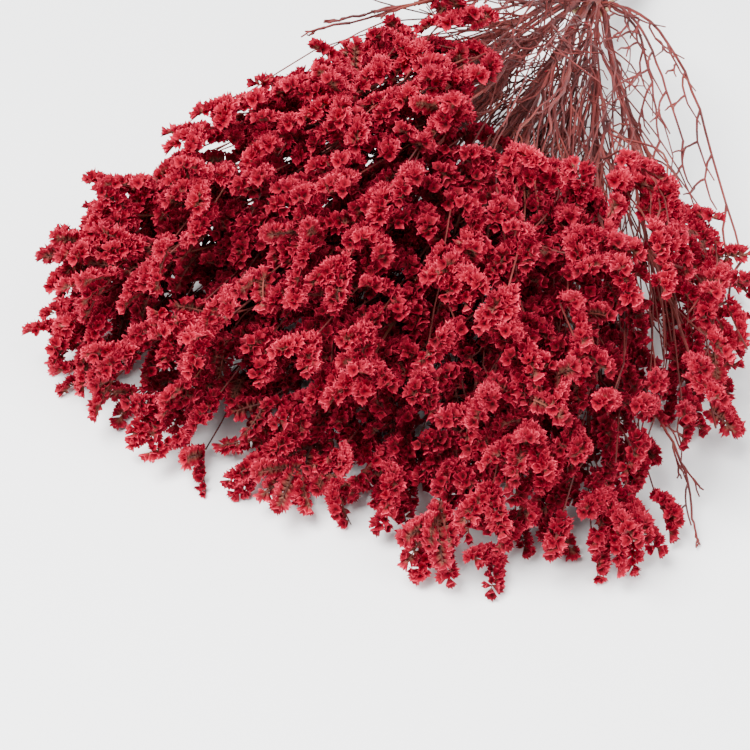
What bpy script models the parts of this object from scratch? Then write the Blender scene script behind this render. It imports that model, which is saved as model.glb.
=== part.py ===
"""Dried statice: a tied bunch of dyed, dried sprays that lies on its side.

Metres, +Z up. The bunch lies along Y, with its flower heads towards -Y and its cut stem
ends towards +Y. The origin is on the surface it lies on, below the middle of its box.
Every spray fills a cone of its own from the tie outwards, so that no two sprays cross.
"""

import math
import random
from dataclasses import dataclass

import bmesh
import bpy
from mathutils import Vector
from mathutils.bvhtree import BVHTree
from mathutils.geometry import intersect_ray_tri

SEED = 15

# The tie and the packed stems in it
TIE = Vector((0.0088, 0.0974, 0.031))
STEM_RADIUS = 0.0012
STEM_GAP = 0.0004
PACK_STEPS = 900
PULL_STEPS = 500
PULL = 0.99
CORD_RADIUS = 0.0011
CORD_TURNS = 3
CORD_PITCH = 1.7
KNOT_RADIUS = 0.0026
TAIL_LENGTH = 0.022
TAIL_RISE = 0.28
TAIL_FALL = 0.42
TAIL_SLANT = 0.35
TAIL_SHARE = 0.85
TIE_RUN = 0.005
RING_POINTS = 14
TAIL_POINTS = 5

# The cut stem ends behind the tie
END_DISTANCE = 0.138
END_STAGGER = 0.010
END_FLARE = 1.9
END_SINK = 0.0004
END_BOW = 0.15
END_SAG = 0.1

# The main stems in front of the tie
STEM_STEPS = 4
STEM_TAPER = (0.95, 0.85, 0.75, 0.65)
STEM_FADE = 0.12
SWAY = 0.0025
SWAY_RATE = 40.0
SWAY_SHIFT = 9.0
SWAY_START = 0.1
HEADING_JITTER = 1.3
SLOPE_JITTER = 0.8

# The flower head, measured from the tie
REACH = 0.326
BULGE = 0.016
BULGE_MIDDLE = 9.5
BULGE_WIDTH = 6.0
START = 0.168
START_FALL = 0.1
START_LEFT = 0.6
START_RIGHT = 0.3
START_ROUNDING = 4.0
WIDEST = 30.0
SPAN_LEFT = 27.5
HIGHEST = 23.3
SIDE_TOP = -1.0
LOWEST = -7.0
FALL_LEFT = 0.14
FALL_RIGHT = 0.4
FALL_UP = 0.32
TOP_ROUNDING = 2.0
SIDE_ROUNDING = 6.0
UP_ROUNDING = 1.7
MIDDLE_DISTANCE = 0.17
MIDDLE_ELEVATION = 4.0
SHELL_DEPTH = 0.075
SHELL_ANGLE = 7.0
INNER_SHARE = 0.45
HOLLOW_ELEVATION = 2.0
HOLLOW_DEPTH = 1.6
HOLLOW_WIDTH = 9.0
HOLLOW_FROM = 0.29
BARE_LEFT = 1.0
BARE_RIGHT = 24.0
BARE_SLOPE = 7.5
BARE_RISE = 125.0
FLOOR_MARGIN = 0.009
STALK_FLOOR_MARGIN = 0.003
TWIG_FLOOR_MARGIN = 0.002

# How the spikes of a spray are looked for
CANDIDATES = 500
SEARCH_AZIMUTH = 8.0
SEARCH_ELEVATION = 6.0
TOP_MARGIN = 1.0
OUTER_BIAS = 0.7

# One flower spike: a curled stalk with funnel florets in two rows along its outer side
SPIKE_LENGTH = 0.0205
SPIKE_CURL = 0.0046
SPIKE_CLEARANCE = 0.0066
SPIKE_TO_TWIG = 0.0108
SPIKE_PITCH = 0.0165
SPIKE_STEPS = 3
SPIKE_TILT = (0.1, 0.75)
SPIKE_LENGTHS = (0.85, 1.15)
SPIKE_LIFT = 0.35
SPIKE_TURN = 0.55
SPIKE_INSET = 0.6
TWIG_STEPS = 2
TWIG_TEST_STEPS = 8
TWIG_RADIUS = 0.0008
TWIG_BEND = 0.36
TWIG_LEADS = (0.012, 0.03)
END_TWIG = 0.03
STALK_RADIUS = 0.0016
TWIG_SLOPE = 0.62
FIRST_BRANCH = 0.09
FLORET_CORNERS = 5
FLORET_RADIUS = 0.0068
FLORET_SPREADS = (0.86, 1.1)
FLORET_HEIGHT = 0.0118
FLORET_HEIGHTS = (0.9, 1.1)
FLORET_THROAT = 0.5
FLORET_SPLAY = 42.0
FLORET_FAN = 41.0
FLORET_MARGIN = 0.0002
FLORET_SIZES = (1.0, 0.9, 0.8, 0.7, 0.6)
TIP_FLORET = 0.85
BUD_LAYER = "bud"

LEADER_SIDES = 5
CORD_SIDES = 5

STEM_COLOUR = (0.125, 0.045, 0.047, 1.0)
FLORET_COLOUR = (0.55, 0.018, 0.045, 1.0)
TIE_COLOUR = (0.45, 0.32, 0.18, 1.0)


@dataclass(frozen=True)
class Layer:
    """Sprays that leave the tie at about the same slope, spread evenly from side to side."""

    elevation: float
    sprays: int
    half_span: float
    spikes: int
    reach: float = 1.0
    middle: float = 0.0


LAYERS = (
    Layer(elevation=-2.2, sprays=6, half_span=25.0, spikes=8),
    Layer(elevation=4.8, sprays=5, half_span=20.0, spikes=7),
    Layer(elevation=12.0, sprays=4, half_span=15.0, spikes=7),
    Layer(elevation=18.8, sprays=3, half_span=9.5, spikes=6),
    Layer(elevation=26.0, sprays=1, half_span=0.0, spikes=4, reach=0.95, middle=-3.0),
)


@dataclass
class Spray:
    """One stem with the cone of space that it may fill and the spikes that it carries."""

    name: str
    layer: Layer
    heading: Vector
    at_tie: Vector
    walls: list
    spikes: list


@dataclass
class Spike:
    """A flower spike: where its stalk starts, where it points and where its florets face."""

    leaves: float
    base: Vector
    along: Vector
    crest: Vector
    length: float


def direction(azimuth, elevation):
    """The unit vector at these angles in degrees, where azimuth 0 is -Y and +X is positive."""
    a, e = math.radians(azimuth), math.radians(elevation)
    return Vector((math.sin(a) * math.cos(e), -math.cos(a) * math.cos(e), math.sin(e)))


def angles(vector):
    """Azimuth and elevation of a vector, in degrees."""
    flat = math.hypot(vector.x, vector.y)
    return math.degrees(math.atan2(vector.x, -vector.y)), math.degrees(math.atan2(vector.z, flat))


def head_reach(azimuth, elevation):
    """How far from the tie the flowers go in this direction: less far upwards and at the sides."""
    up = max(0.0, elevation) / HIGHEST
    across = min(1.0, abs(azimuth) / WIDEST)
    fall = FALL_RIGHT if azimuth > 0 else FALL_LEFT
    further = BULGE * math.exp(-(((azimuth - BULGE_MIDDLE) / BULGE_WIDTH) ** 2))
    return (REACH + further) * (1 - FALL_UP * up**UP_ROUNDING) * (1 - fall * across**SIDE_ROUNDING)


def head_top(azimuth):
    """The steepest angle at which there are flowers: the head is highest in its middle."""
    span = SPAN_LEFT if azimuth < 0 else WIDEST
    return max(SIDE_TOP, HIGHEST * (1 - (abs(azimuth) / span) ** TOP_ROUNDING))


def head_start(azimuth, elevation):
    """How far from the tie the flowers begin: further at the sides than in the middle."""
    later = START_RIGHT if azimuth > 0 else START_LEFT
    across = abs(azimuth) / WIDEST
    fall = START_FALL * max(0.0, elevation) / HIGHEST
    return START * (1 - fall) * (1 + later * across**START_ROUNDING)


def in_hollow(azimuth, elevation, distance):
    """True in the dark hollow that opens at the front, between the lowest sprays and the rest."""
    return (
        distance > HOLLOW_FROM
        and abs(azimuth) < HOLLOW_WIDTH
        and abs(elevation - HOLLOW_ELEVATION) < HOLLOW_DEPTH
    )


def in_bare(azimuth, elevation, distance):
    """True above the stems that show bare between the tie and the right part of the head."""
    rise = BARE_SLOPE + (distance - START) * BARE_RISE
    return BARE_LEFT < azimuth < BARE_RIGHT and elevation > rise


def in_middle(azimuth, elevation, distance):
    """True inside the head, where the flowers would be hidden and only stems run."""
    return (
        distance < head_reach(azimuth, elevation) - SHELL_DEPTH
        and abs(azimuth) < WIDEST - SHELL_ANGLE
        and elevation < head_top(azimuth) - SHELL_ANGLE
    )


def random_unit(draw):
    """A direction drawn evenly from all directions."""
    z, turn = draw.uniform(-1, 1), draw.uniform(0, 2 * math.pi)
    flat = math.sqrt(1 - z * z)
    return Vector((flat * math.cos(turn), flat * math.sin(turn), z))


def square_to(vector, axis):
    """The unit vector nearest to this one that is at right angles to the axis."""
    return (vector - axis * vector.dot(axis)).normalized()


def spray_headings(draw):
    """The layer and heading of each spray, lowest layer first."""
    headings = []
    for layer in LAYERS:
        for k in range(layer.sprays):
            share = 0.0 if layer.sprays == 1 else 2 * k / (layer.sprays - 1) - 1
            jitter = draw.uniform(-HEADING_JITTER, HEADING_JITTER)
            azimuth = layer.middle + share * layer.half_span + jitter
            elevation = layer.elevation + draw.uniform(-SLOPE_JITTER, SLOPE_JITTER)
            headings.append((layer, direction(azimuth, elevation)))
    return headings


def packed_at_tie(headings):
    """Each stem's place across the tie: pulled to the middle and pushed apart until they fit."""
    pitch = 2 * STEM_RADIUS + STEM_GAP
    places = [Vector((h.x, h.z)) * STEM_RADIUS * len(headings) for h in headings]
    for step in range(PACK_STEPS):
        if step < PULL_STEPS:
            centre = sum(places, Vector((0, 0))) / len(places)
            places = [centre + (p - centre) * PULL for p in places]
        for i, first in enumerate(places):
            for second in places[i + 1 :]:
                apart = second - first
                if apart.length < pitch:
                    push = apart.normalized() * (pitch - apart.length) / 2
                    first -= push
                    second += push
    middle = sum(places, Vector((0, 0))) / len(places)
    return [Vector((p.x - middle.x, 0, p.y - middle.y)) for p in places]


def cone_walls(heading, headings):
    """The planes through the tie that part this spray's cone from its neighbours' cones."""
    return [(heading - other).normalized() for other in headings if other is not heading]


def room(spray, point):
    """How far inside the spray's cone a point is."""
    offset = point - TIE
    return min(offset.dot(wall) for wall in spray.walls)


def leader_point(spray, distance):
    """A point on the spray's main stem at this distance from the tie."""
    phase = distance * SWAY_RATE + SWAY_SHIFT * spray.heading.x
    sway = SWAY * math.sin(phase) * min(1.0, distance / SWAY_START)
    side = Vector((-spray.heading.y, spray.heading.x, 0)).normalized()
    fade = max(0.0, 1 - distance / STEM_FADE)
    return TIE + spray.at_tie * fade + spray.heading * distance + side * sway


def twig_points(spray, spike, steps):
    """The twig from the main stem to the foot of the spike, as a smooth bend."""
    foot = leader_point(spray, spike.leaves)
    handle = (spike.base - foot).length * TWIG_BEND
    first = foot + spray.heading * handle
    second = spike.base - spike.along * handle
    points = []
    for k in range(steps + 1):
        t = k / steps
        points.append(
            foot * (1 - t) ** 3
            + first * 3 * t * (1 - t) ** 2
            + second * 3 * t * t * (1 - t)
            + spike.base * t**3
        )
    return points


def stalk_point(spike, t):
    """A point on the curled stalk of the spike, from 0 at its foot to 1 at its tip."""
    return spike.base + spike.along * spike.length * t - spike.crest * SPIKE_CURL * t * t


def stalk_heading(spike, t):
    """The direction of the stalk at that point."""
    return (spike.along * spike.length - spike.crest * 2 * SPIKE_CURL * t).normalized()


def draw_spike(spray, centre, draw):
    """A spike round this point that points outwards and faces away from the middle of the head."""
    radial = (centre - TIE).normalized()
    tilt = square_to(random_unit(draw), radial) * draw.uniform(*SPIKE_TILT)
    along = (radial + tilt).normalized()
    middle = TIE + direction(0, MIDDLE_ELEVATION) * MIDDLE_DISTANCE
    outward = (centre - middle).normalized() + Vector((0, 0, SPIKE_LIFT))
    crest = square_to(outward + random_unit(draw) * SPIKE_TURN, along)
    length = SPIKE_LENGTH * draw.uniform(*SPIKE_LENGTHS)
    base = centre - along * length * 0.5
    to_base = base - TIE
    reach = to_base.dot(spray.heading)
    off = (to_base - spray.heading * reach).length
    leaves = max(FIRST_BRANCH, reach - off / TWIG_SLOPE - draw.uniform(*TWIG_LEADS))
    return Spike(leaves, base, along, crest, length)


def own_side(spray, spike, point):
    """How far a point is on the spike's own side of the planes halfway to the spray's others."""
    middle = stalk_point(spike, 0.5)
    least = 1.0
    for other in spray.spikes:
        if other is not spike:
            other_middle = stalk_point(other, 0.5)
            halfway = (middle + other_middle) / 2
            least = min(least, (point - halfway).dot((middle - other_middle).normalized()))
    return least


def spike_fits(spray, spike):
    """True if the whole spike and its twig keep clear of the cone's walls and of the floor."""
    stalk = [stalk_point(spike, t) for t in (0.0, 0.5, 1.0)]
    if min(room(spray, p) for p in stalk) < SPIKE_CLEARANCE:
        return False
    if min(p.z for p in stalk) < STALK_FLOOR_MARGIN:
        return False
    twig = twig_points(spray, spike, TWIG_TEST_STEPS // 2)
    inside = min(room(spray, p) for p in twig) > 2 * TWIG_RADIUS
    return inside and min(p.z for p in twig) > TWIG_FLOOR_MARGIN


def clear_of_others(spray, spike):
    """True if no twig of the spray runs through another spike."""
    for other in spray.spikes:
        for one, passing in ((spike, other), (other, spike)):
            middle = stalk_point(one, 0.5)
            twig = twig_points(spray, passing, TWIG_TEST_STEPS)
            if min((point - middle).length for point in twig) < SPIKE_TO_TWIG:
                return False
    return True


def place_spikes(spray, taken, draw):
    """Spreads the layer's number of spikes over the outer part of the spray's cone."""
    azimuth, elevation = angles(spray.heading)
    tip = head_reach(azimuth, elevation) * spray.layer.reach
    top = TIE + spray.heading * (tip - SPIKE_LENGTH * SPIKE_INSET)
    spray.spikes.append(end_spike(spray, top, draw))
    taken.append(top)
    while len(spray.spikes) < spray.layer.spikes:
        best, best_distance = None, 0.0
        for _ in range(CANDIDATES):
            a = azimuth + draw.uniform(-SEARCH_AZIMUTH, SEARCH_AZIMUTH)
            a = max(-WIDEST, min(WIDEST, a))
            e = elevation + draw.uniform(-SEARCH_ELEVATION, SEARCH_ELEVATION)
            e = max(LOWEST, min(head_top(a) + TOP_MARGIN, e))
            far = head_reach(a, e) * spray.layer.reach - SPIKE_LENGTH * SPIKE_INSET
            near = head_start(a, e) * spray.layer.reach
            distance = near + (far - near) * draw.random() ** OUTER_BIAS
            centre = TIE + direction(a, e) * distance
            if in_hollow(a, e, distance) or centre.z < FLOOR_MARGIN:
                continue
            if in_bare(a, e, distance):
                continue
            gap = min(((centre - other).length for other in taken), default=1.0)
            if gap < SPIKE_PITCH:
                continue
            if in_middle(a, e, distance):
                gap *= INNER_SHARE
            if gap <= best_distance:
                continue
            spike = draw_spike(spray, centre, draw)
            if spike_fits(spray, spike) and clear_of_others(spray, spike):
                best, best_distance, best_centre = spike, gap, centre
        if best is None:
            break
        spray.spikes.append(best)
        taken.append(best_centre)


def end_spike(spray, centre, draw):
    """The spike that ends the main stem itself."""
    spike = draw_spike(spray, centre, draw)
    spike.along = (spray.heading * 2 + spike.along).normalized()
    spike.crest = square_to(spike.crest, spike.along)
    spike.base = centre - spike.along * spike.length * 0.5
    spike.leaves = (spike.base - TIE).dot(spray.heading) - END_TWIG
    return spike


def plan_sprays():
    """All sprays with their cones and spikes, the same each time."""
    draw = random.Random(SEED)
    planned = spray_headings(draw)
    headings = [heading for _, heading in planned]
    places = packed_at_tie(headings)
    sprays, taken = [], []
    for number, ((layer, heading), place) in enumerate(zip(planned, places), 1):
        spray = Spray(f"spray_{number:02d}", layer, heading, place, cone_walls(heading, headings), [])
        place_spikes(spray, taken, draw)
        sprays.append(spray)
    return sprays


def material(name, colour, roughness):
    """A plain Principled material."""
    made = bpy.data.materials.new(name)
    made.use_nodes = True
    shader = made.node_tree.nodes["Principled BSDF"]
    shader.inputs["Base Color"].default_value = colour
    shader.inputs["Roughness"].default_value = roughness
    shader.inputs["Metallic"].default_value = 0.0
    made.diffuse_color = colour
    return made


def profile(name, sides, guides):
    """A regular polygon of radius 1, the section that a stem is swept with."""
    curve = bpy.data.curves.new(name, "CURVE")
    curve.dimensions = "2D"
    spline = curve.splines.new("POLY")
    spline.points.add(sides - 1)
    spline.use_cyclic_u = True
    for k, point in enumerate(spline.points):
        turn = 2 * math.pi * k / sides
        point.co = (math.cos(turn), math.sin(turn), 0, 1)
    obj = bpy.data.objects.new(name, curve)
    obj.hide_render = True
    obj.display_type = "WIRE"
    guides.objects.link(obj)
    return obj


def swept(name, points, radii, section, finish, collection, closed=False):
    """A closed mesh object swept through the points with the section, tapered by the radii."""
    curve = bpy.data.curves.new(name, "CURVE")
    curve.dimensions = "3D"
    curve.bevel_mode = "OBJECT"
    curve.bevel_object = section
    curve.use_fill_caps = not closed
    spline = curve.splines.new("POLY")
    spline.points.add(len(points) - 1)
    spline.use_cyclic_u = closed
    for point, place, radius in zip(spline.points, points, radii):
        point.co = (*place, 1)
        point.radius = radius
    guide = bpy.data.objects.new(name, curve)
    bpy.context.scene.collection.objects.link(guide)
    bpy.context.view_layer.update()
    graph = bpy.context.evaluated_depsgraph_get()
    mesh = bpy.data.meshes.new_from_object(guide.evaluated_get(graph))
    bpy.data.objects.remove(guide)
    weld(mesh)
    mesh.materials.clear()
    mesh.materials.append(finish)
    obj = bpy.data.objects.new(name, mesh)
    collection.objects.link(obj)
    return obj


def weld(mesh):
    """Joins a swept mesh's caps to its sides and turns its faces outwards."""
    shape = bmesh.new()
    shape.from_mesh(mesh)
    bmesh.ops.remove_doubles(shape, verts=shape.verts, dist=1e-6)
    bmesh.ops.recalc_face_normals(shape, faces=shape.faces)
    shape.to_mesh(mesh)
    shape.free()


def stalk_ring(place, heading, crest, radius):
    """Three corners round a point of the stalk: one on its outer side and two on its back."""
    up = square_to(crest, heading)
    side = heading.cross(up)
    corners = []
    for k in range(3):
        turn = math.pi / 2 + 2 * math.pi * k / 3
        corners.append(place + (side * math.cos(turn) + up * math.sin(turn)) * radius)
    return corners


def grow_stalk(shape, rings):
    """Extrudes a triangle ring by ring. It returns the faces round each step and the end face."""
    start = bmesh.ops.create_circle(shape, cap_ends=True, segments=3, radius=TWIG_RADIUS)
    for vertex, corner in zip(start["verts"], rings[0]):
        vertex.co = corner
    end = start["verts"][0].link_faces[0]
    order = list(start["verts"])
    steps = []
    for ring in rings[1:]:
        grown = bmesh.ops.extrude_face_region(shape, geom=[end])
        if steps:
            bmesh.ops.delete(shape, geom=[end], context="FACES_ONLY")
        moved = [item for item in grown["geom"] if isinstance(item, bmesh.types.BMVert)]
        following = []
        for old in order:
            following.append(next(edge.other_vert(old) for edge in old.link_edges
                                  if edge.other_vert(old) in moved))
        for vertex, corner in zip(following, ring):
            vertex.co = corner
        end = next(item for item in grown["geom"] if isinstance(item, bmesh.types.BMFace))
        both = set(order) | set(following)
        sides = [face for face in shape.faces if len(face.verts) == 4 and set(face.verts) <= both]
        steps.append(sides)
        order = following
    return steps, end


def rim_phase(corners, foot, across, beside):
    """The turn at which a regular rim lies nearest to the corners of the face it grows from."""
    sine = cosine = 0.0
    for k, vertex in enumerate(corners):
        arm = vertex.co - foot
        turn = math.atan2(arm.dot(beside), arm.dot(across)) - 2 * math.pi * k / len(corners)
        sine += math.sin(turn)
        cosine += math.cos(turn)
    return math.atan2(sine, cosine)


def open_floret(shape, bud, facing, rim):
    """Extrudes a face of the stalk into a funnel: rim has its corners' spread and height."""
    foot = bud.calc_center_median()
    across = square_to(bud.verts[0].co - foot, facing)
    beside = facing.cross(across)
    cap = bmesh.ops.extrude_discrete_faces(shape, faces=[bud])["faces"][0]
    while len(cap.verts) < FLORET_CORNERS:
        longest = max(cap.edges, key=lambda edge: edge.calc_length())
        bmesh.utils.edge_split(longest, longest.verts[0], 0.5)
    corners = [loop.vert for loop in cap.loops]
    phase = rim_phase(corners, foot, across, beside)
    for k, (vertex, (spread, height)) in enumerate(zip(corners, rim)):
        turn = phase + 2 * math.pi * k / FLORET_CORNERS
        out = across * math.cos(turn) + beside * math.sin(turn)
        vertex.co = foot + out * spread + facing * height
    throat = bmesh.ops.poke(shape, faces=[cap])
    level = sum(height for _, height in rim) / len(rim)
    throat["verts"][0].co = foot + facing * level * FLORET_THROAT
    for petal in throat["faces"]:
        for edge in petal.edges:
            for side in edge.link_faces:
                side.material_index = 1
    return corners


def try_floret(shape, number, spray, spike, facing, size, draw):
    """The shape with one more floret, the largest that fits, or as it was where none does."""
    corners = range(FLORET_CORNERS)
    spreads = [FLORET_RADIUS * size * draw.uniform(*FLORET_SPREADS) for _ in corners]
    heights = [FLORET_HEIGHT * size * draw.uniform(*FLORET_HEIGHTS) for _ in corners]
    for shrink in FLORET_SIZES:
        trial = shape.copy()
        marks = trial.faces.layers.int[BUD_LAYER]
        bud = next(face for face in trial.faces if face[marks] == number)
        rim = [(spread * shrink, height * shrink) for spread, height in zip(spreads, heights)]
        inside = min(
            min(room(spray, vertex.co), own_side(spray, spike, vertex.co))
            for vertex in open_floret(trial, bud, facing, rim)
        )
        if inside > FLORET_MARGIN and not crosses_itself(trial):
            shape.free()
            return trial
        trial.free()
    return shape


def pierces(edge, triangle):
    """True if the edge passes through the triangle, away from the edge's own ends."""
    start, along = edge[0], edge[1] - edge[0]
    hit = intersect_ray_tri(*triangle, along, start, True)
    return hit is not None and 0.001 < (hit - start).dot(along) / along.length_squared < 0.999


def crosses_itself(shape):
    """True if two triangles that share at most one corner cut through each other."""
    flat = shape.copy()
    bmesh.ops.triangulate(flat, faces=flat.faces)
    flat.faces.ensure_lookup_table()
    tree = BVHTree.FromBMesh(flat)
    crossing = False
    for pair in tree.overlap(tree):
        first, second = (set(flat.faces[index].verts) for index in pair)
        shared = first & second
        if pair[0] >= pair[1] or len(shared) > 1:
            continue
        if not shared or any(
            pierces([v.co for v in one - shared], [v.co for v in other])
            for one, other in ((first, second), (second, first))
        ):
            crossing = True
            break
    flat.free()
    return crossing


def floret_facing(spike, step, hand):
    """Where a floret faces: splayed to one side and fanned out along the spike."""
    t = (step + 0.5) / SPIKE_STEPS
    heading = stalk_heading(spike, t)
    crest = square_to(spike.crest, heading)
    lean = math.radians(FLORET_FAN) * (2 * t - 1) * SPIKE_STEPS / (SPIKE_STEPS - 1)
    splay = math.radians(FLORET_SPLAY) * hand
    upright = crest * math.cos(lean) + heading * math.sin(lean)
    return upright * math.cos(splay) + heading.cross(crest) * math.sin(splay)


def build_spike(spray, spike, finishes, collection, draw):
    """One twig that ends in a flower spike."""
    rings = []
    route = twig_points(spray, spike, TWIG_STEPS)
    for k, place in enumerate(route[:-1]):
        heading = (route[k + 1] - place).normalized()
        rings.append(stalk_ring(place, heading, spike.crest, TWIG_RADIUS))
    for k in range(SPIKE_STEPS + 1):
        t = k / SPIKE_STEPS
        place, heading = stalk_point(spike, t), stalk_heading(spike, t)
        rings.append(stalk_ring(place, heading, spike.crest, STALK_RADIUS))
    shape = bmesh.new()
    marks = shape.faces.layers.int.new(BUD_LAYER)
    steps, end = grow_stalk(shape, rings)
    bmesh.ops.recalc_face_normals(shape, faces=shape.faces)
    end[marks] = 1
    buds = [(1, stalk_heading(spike, 1.0), TIP_FLORET)]
    for step, sides in enumerate(steps[TWIG_STEPS:]):
        heading = stalk_heading(spike, (step + 0.5) / SPIKE_STEPS)
        side = heading.cross(square_to(spike.crest, heading))
        for face in sides:
            if face.normal.dot(spike.crest) > 0:
                face[marks] = len(buds) + 1
                hand = math.copysign(1, face.normal.dot(side))
                buds.append((face[marks], floret_facing(spike, step, hand), 1.0))
    for number, facing, size in buds:
        shape = try_floret(shape, number, spray, spike, facing, size, draw)
    bmesh.ops.triangulate(shape, faces=shape.faces)
    mesh = bpy.data.meshes.new("spike")
    shape.to_mesh(mesh)
    shape.free()
    for finish in finishes.values():
        mesh.materials.append(finish)
    collection.objects.link(bpy.data.objects.new("spike", mesh))


def stem_points(spray, rest_drop, draw):
    """The main stem's centre line, from its cut end through the tie to its end spike."""
    stagger = draw.uniform(-END_STAGGER, END_STAGGER)
    end = TIE + spray.at_tie * END_FLARE + Vector((0, END_DISTANCE + stagger, -rest_drop))
    start = TIE + spray.at_tie
    middle = (end + start) / 2 + Vector((0, 0, rest_drop * END_SAG)) + spray.at_tie * END_BOW
    points = [end, middle, start + Vector((0, TIE_RUN, 0)), start - Vector((0, TIE_RUN, 0))]
    step = spray.spikes[0].leaves / STEM_STEPS
    points += [leader_point(spray, step * (k + 1)) for k in range(STEM_STEPS)]
    return points


def end_drop(sprays):
    """How much lower the cut ends lie than the tie, so that the lowest ones rest on the surface."""
    lowest = min(spray.at_tie.z for spray in sprays) * END_FLARE
    return TIE.z + lowest - STEM_RADIUS + END_SINK


def union(base, repeats, name):
    """One Boolean union of all the repeats with the base, as a new mesh on the base."""
    for solver in ("EXACT", "MANIFOLD"):
        join = base.modifiers.new("join", "BOOLEAN")
        join.operation = "UNION"
        join.operand_type = "COLLECTION"
        join.collection = repeats
        join.solver = solver
        if solver == "EXACT":
            join.material_mode = "TRANSFER"
        mesh = applied(base, name)
        base.modifiers.remove(join)
        if is_closed(mesh):
            break
    base.data = mesh
    for obj in list(repeats.objects):
        bpy.data.objects.remove(obj)
    bpy.data.collections.remove(repeats)


def applied(obj, name):
    """The object's mesh with its modifiers applied."""
    bpy.context.view_layer.update()
    graph = bpy.context.evaluated_depsgraph_get()
    mesh = bpy.data.meshes.new_from_object(obj.evaluated_get(graph))
    mesh.name = name
    return mesh


def is_closed(mesh):
    """True if each edge has two faces."""
    shape = bmesh.new()
    shape.from_mesh(mesh)
    closed = all(len(edge.link_faces) == 2 for edge in shape.edges)
    shape.free()
    return closed


def keep_outer_body(mesh):
    """Fills hollows that the fusing sealed and drops loose scraps: only the largest shell stays."""
    shape = bmesh.new()
    shape.from_mesh(mesh)
    seen, shells = set(), []
    for start in shape.verts:
        if start in seen:
            continue
        shell, unvisited = {start}, [start]
        while unvisited:
            for edge in unvisited.pop().link_edges:
                for vertex in edge.verts:
                    if vertex not in shell:
                        shell.add(vertex)
                        unvisited.append(vertex)
        seen |= shell
        shells.append(shell)
    largest = max(shells, key=len)
    bmesh.ops.delete(shape, geom=[v for v in shape.verts if v not in largest], context="VERTS")
    shape.to_mesh(mesh)
    shape.free()


def trim_at_floor(obj, cutter):
    """Cuts a small flat where the spray's lowest florets or stem rest on the surface."""
    if min(vertex.co.z for vertex in obj.data.vertices) >= 0:
        return
    cut = obj.modifiers.new("rest", "BOOLEAN")
    cut.operation = "DIFFERENCE"
    cut.object = cutter
    cut.solver = "EXACT"
    mesh = applied(obj, obj.data.name)
    obj.modifiers.remove(cut)
    obj.data = mesh
    keep_outer_body(mesh)


def floor_cutter(cutters):
    """A slab whose top is the surface that the bunch lies on."""
    shape = bmesh.new()
    bmesh.ops.create_cube(shape, size=1.0)
    bmesh.ops.translate(shape, verts=shape.verts, vec=(0, 0, -0.5))
    mesh = bpy.data.meshes.new("floor_cutter")
    shape.to_mesh(mesh)
    shape.free()
    obj = bpy.data.objects.new("floor_cutter", mesh)
    obj.hide_render = True
    obj.display_type = "WIRE"
    cutters.objects.link(obj)
    return obj


def build_spray(spray, rest_drop, sections, finishes, cutter, parts, draw):
    """One stem with its twigs, stalks and florets, fused into one solid."""
    points = stem_points(spray, rest_drop, draw)
    radii = [STEM_RADIUS] * (len(points) - STEM_STEPS) + [STEM_RADIUS * k for k in STEM_TAPER]
    base = swept(spray.name, points, radii, sections[LEADER_SIDES], finishes["stem"], parts)
    repeats = bpy.data.collections.new(spray.name + "_repeats")
    bpy.context.scene.collection.children.link(repeats)
    for spike in spray.spikes:
        build_spike(spray, spike, finishes, repeats, draw)
    union(base, repeats, spray.name)
    keep_outer_body(base.data)
    trim_at_floor(base, cutter)
    return base


def build_tie(sprays, sections, finish, parts):
    """Three turns of cord round the packed stems, with a knot on top and two short tails."""
    bundle = max(spray.at_tie.length for spray in sprays) + STEM_RADIUS
    radius = bundle + STEM_GAP + CORD_RADIUS
    spacing = CORD_RADIUS * CORD_PITCH
    rings = []
    for turn in range(CORD_TURNS):
        y = TIE.y + (turn - (CORD_TURNS - 1) / 2) * spacing
        points = []
        for k in range(RING_POINTS):
            angle = 2 * math.pi * k / RING_POINTS
            across, up = radius * math.cos(angle), radius * math.sin(angle)
            points.append(Vector((TIE.x + across, y, TIE.z + up)))
        rings.append((points, [CORD_RADIUS] * len(points), True))
    knot = TIE + Vector((0, 0, radius + CORD_RADIUS))
    for hand in (-1, 1):
        tail = []
        for k in range(TAIL_POINTS):
            t = k / (TAIL_POINTS - 1)
            tail.append(
                knot
                + Vector((hand * TAIL_LENGTH * t, TAIL_LENGTH * TAIL_SLANT * t, 0))
                + Vector((0, 0, TAIL_LENGTH * (TAIL_RISE * t - TAIL_FALL * t * t)))
            )
        rings.append((tail, [CORD_RADIUS * TAIL_SHARE] * len(tail), False))
    repeats = bpy.data.collections.new("tie_repeats")
    bpy.context.scene.collection.children.link(repeats)
    points, radii, closed = rings[0]
    base = swept("tie", points, radii, sections[CORD_SIDES], finish, parts, closed)
    for points, radii, closed in rings[1:]:
        swept("turn", points, radii, sections[CORD_SIDES], finish, repeats, closed)
    shape = bmesh.new()
    bmesh.ops.create_uvsphere(shape, u_segments=8, v_segments=5, radius=KNOT_RADIUS)
    bmesh.ops.translate(shape, verts=shape.verts, vec=knot)
    mesh = bpy.data.meshes.new("knot")
    shape.to_mesh(mesh)
    shape.free()
    mesh.materials.append(finish)
    repeats.objects.link(bpy.data.objects.new("knot", mesh))
    union(base, repeats, "tie")
    keep_outer_body(base.data)


def collection(name):
    """A new collection in the scene."""
    made = bpy.data.collections.new(name)
    bpy.context.scene.collection.children.link(made)
    return made


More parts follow.
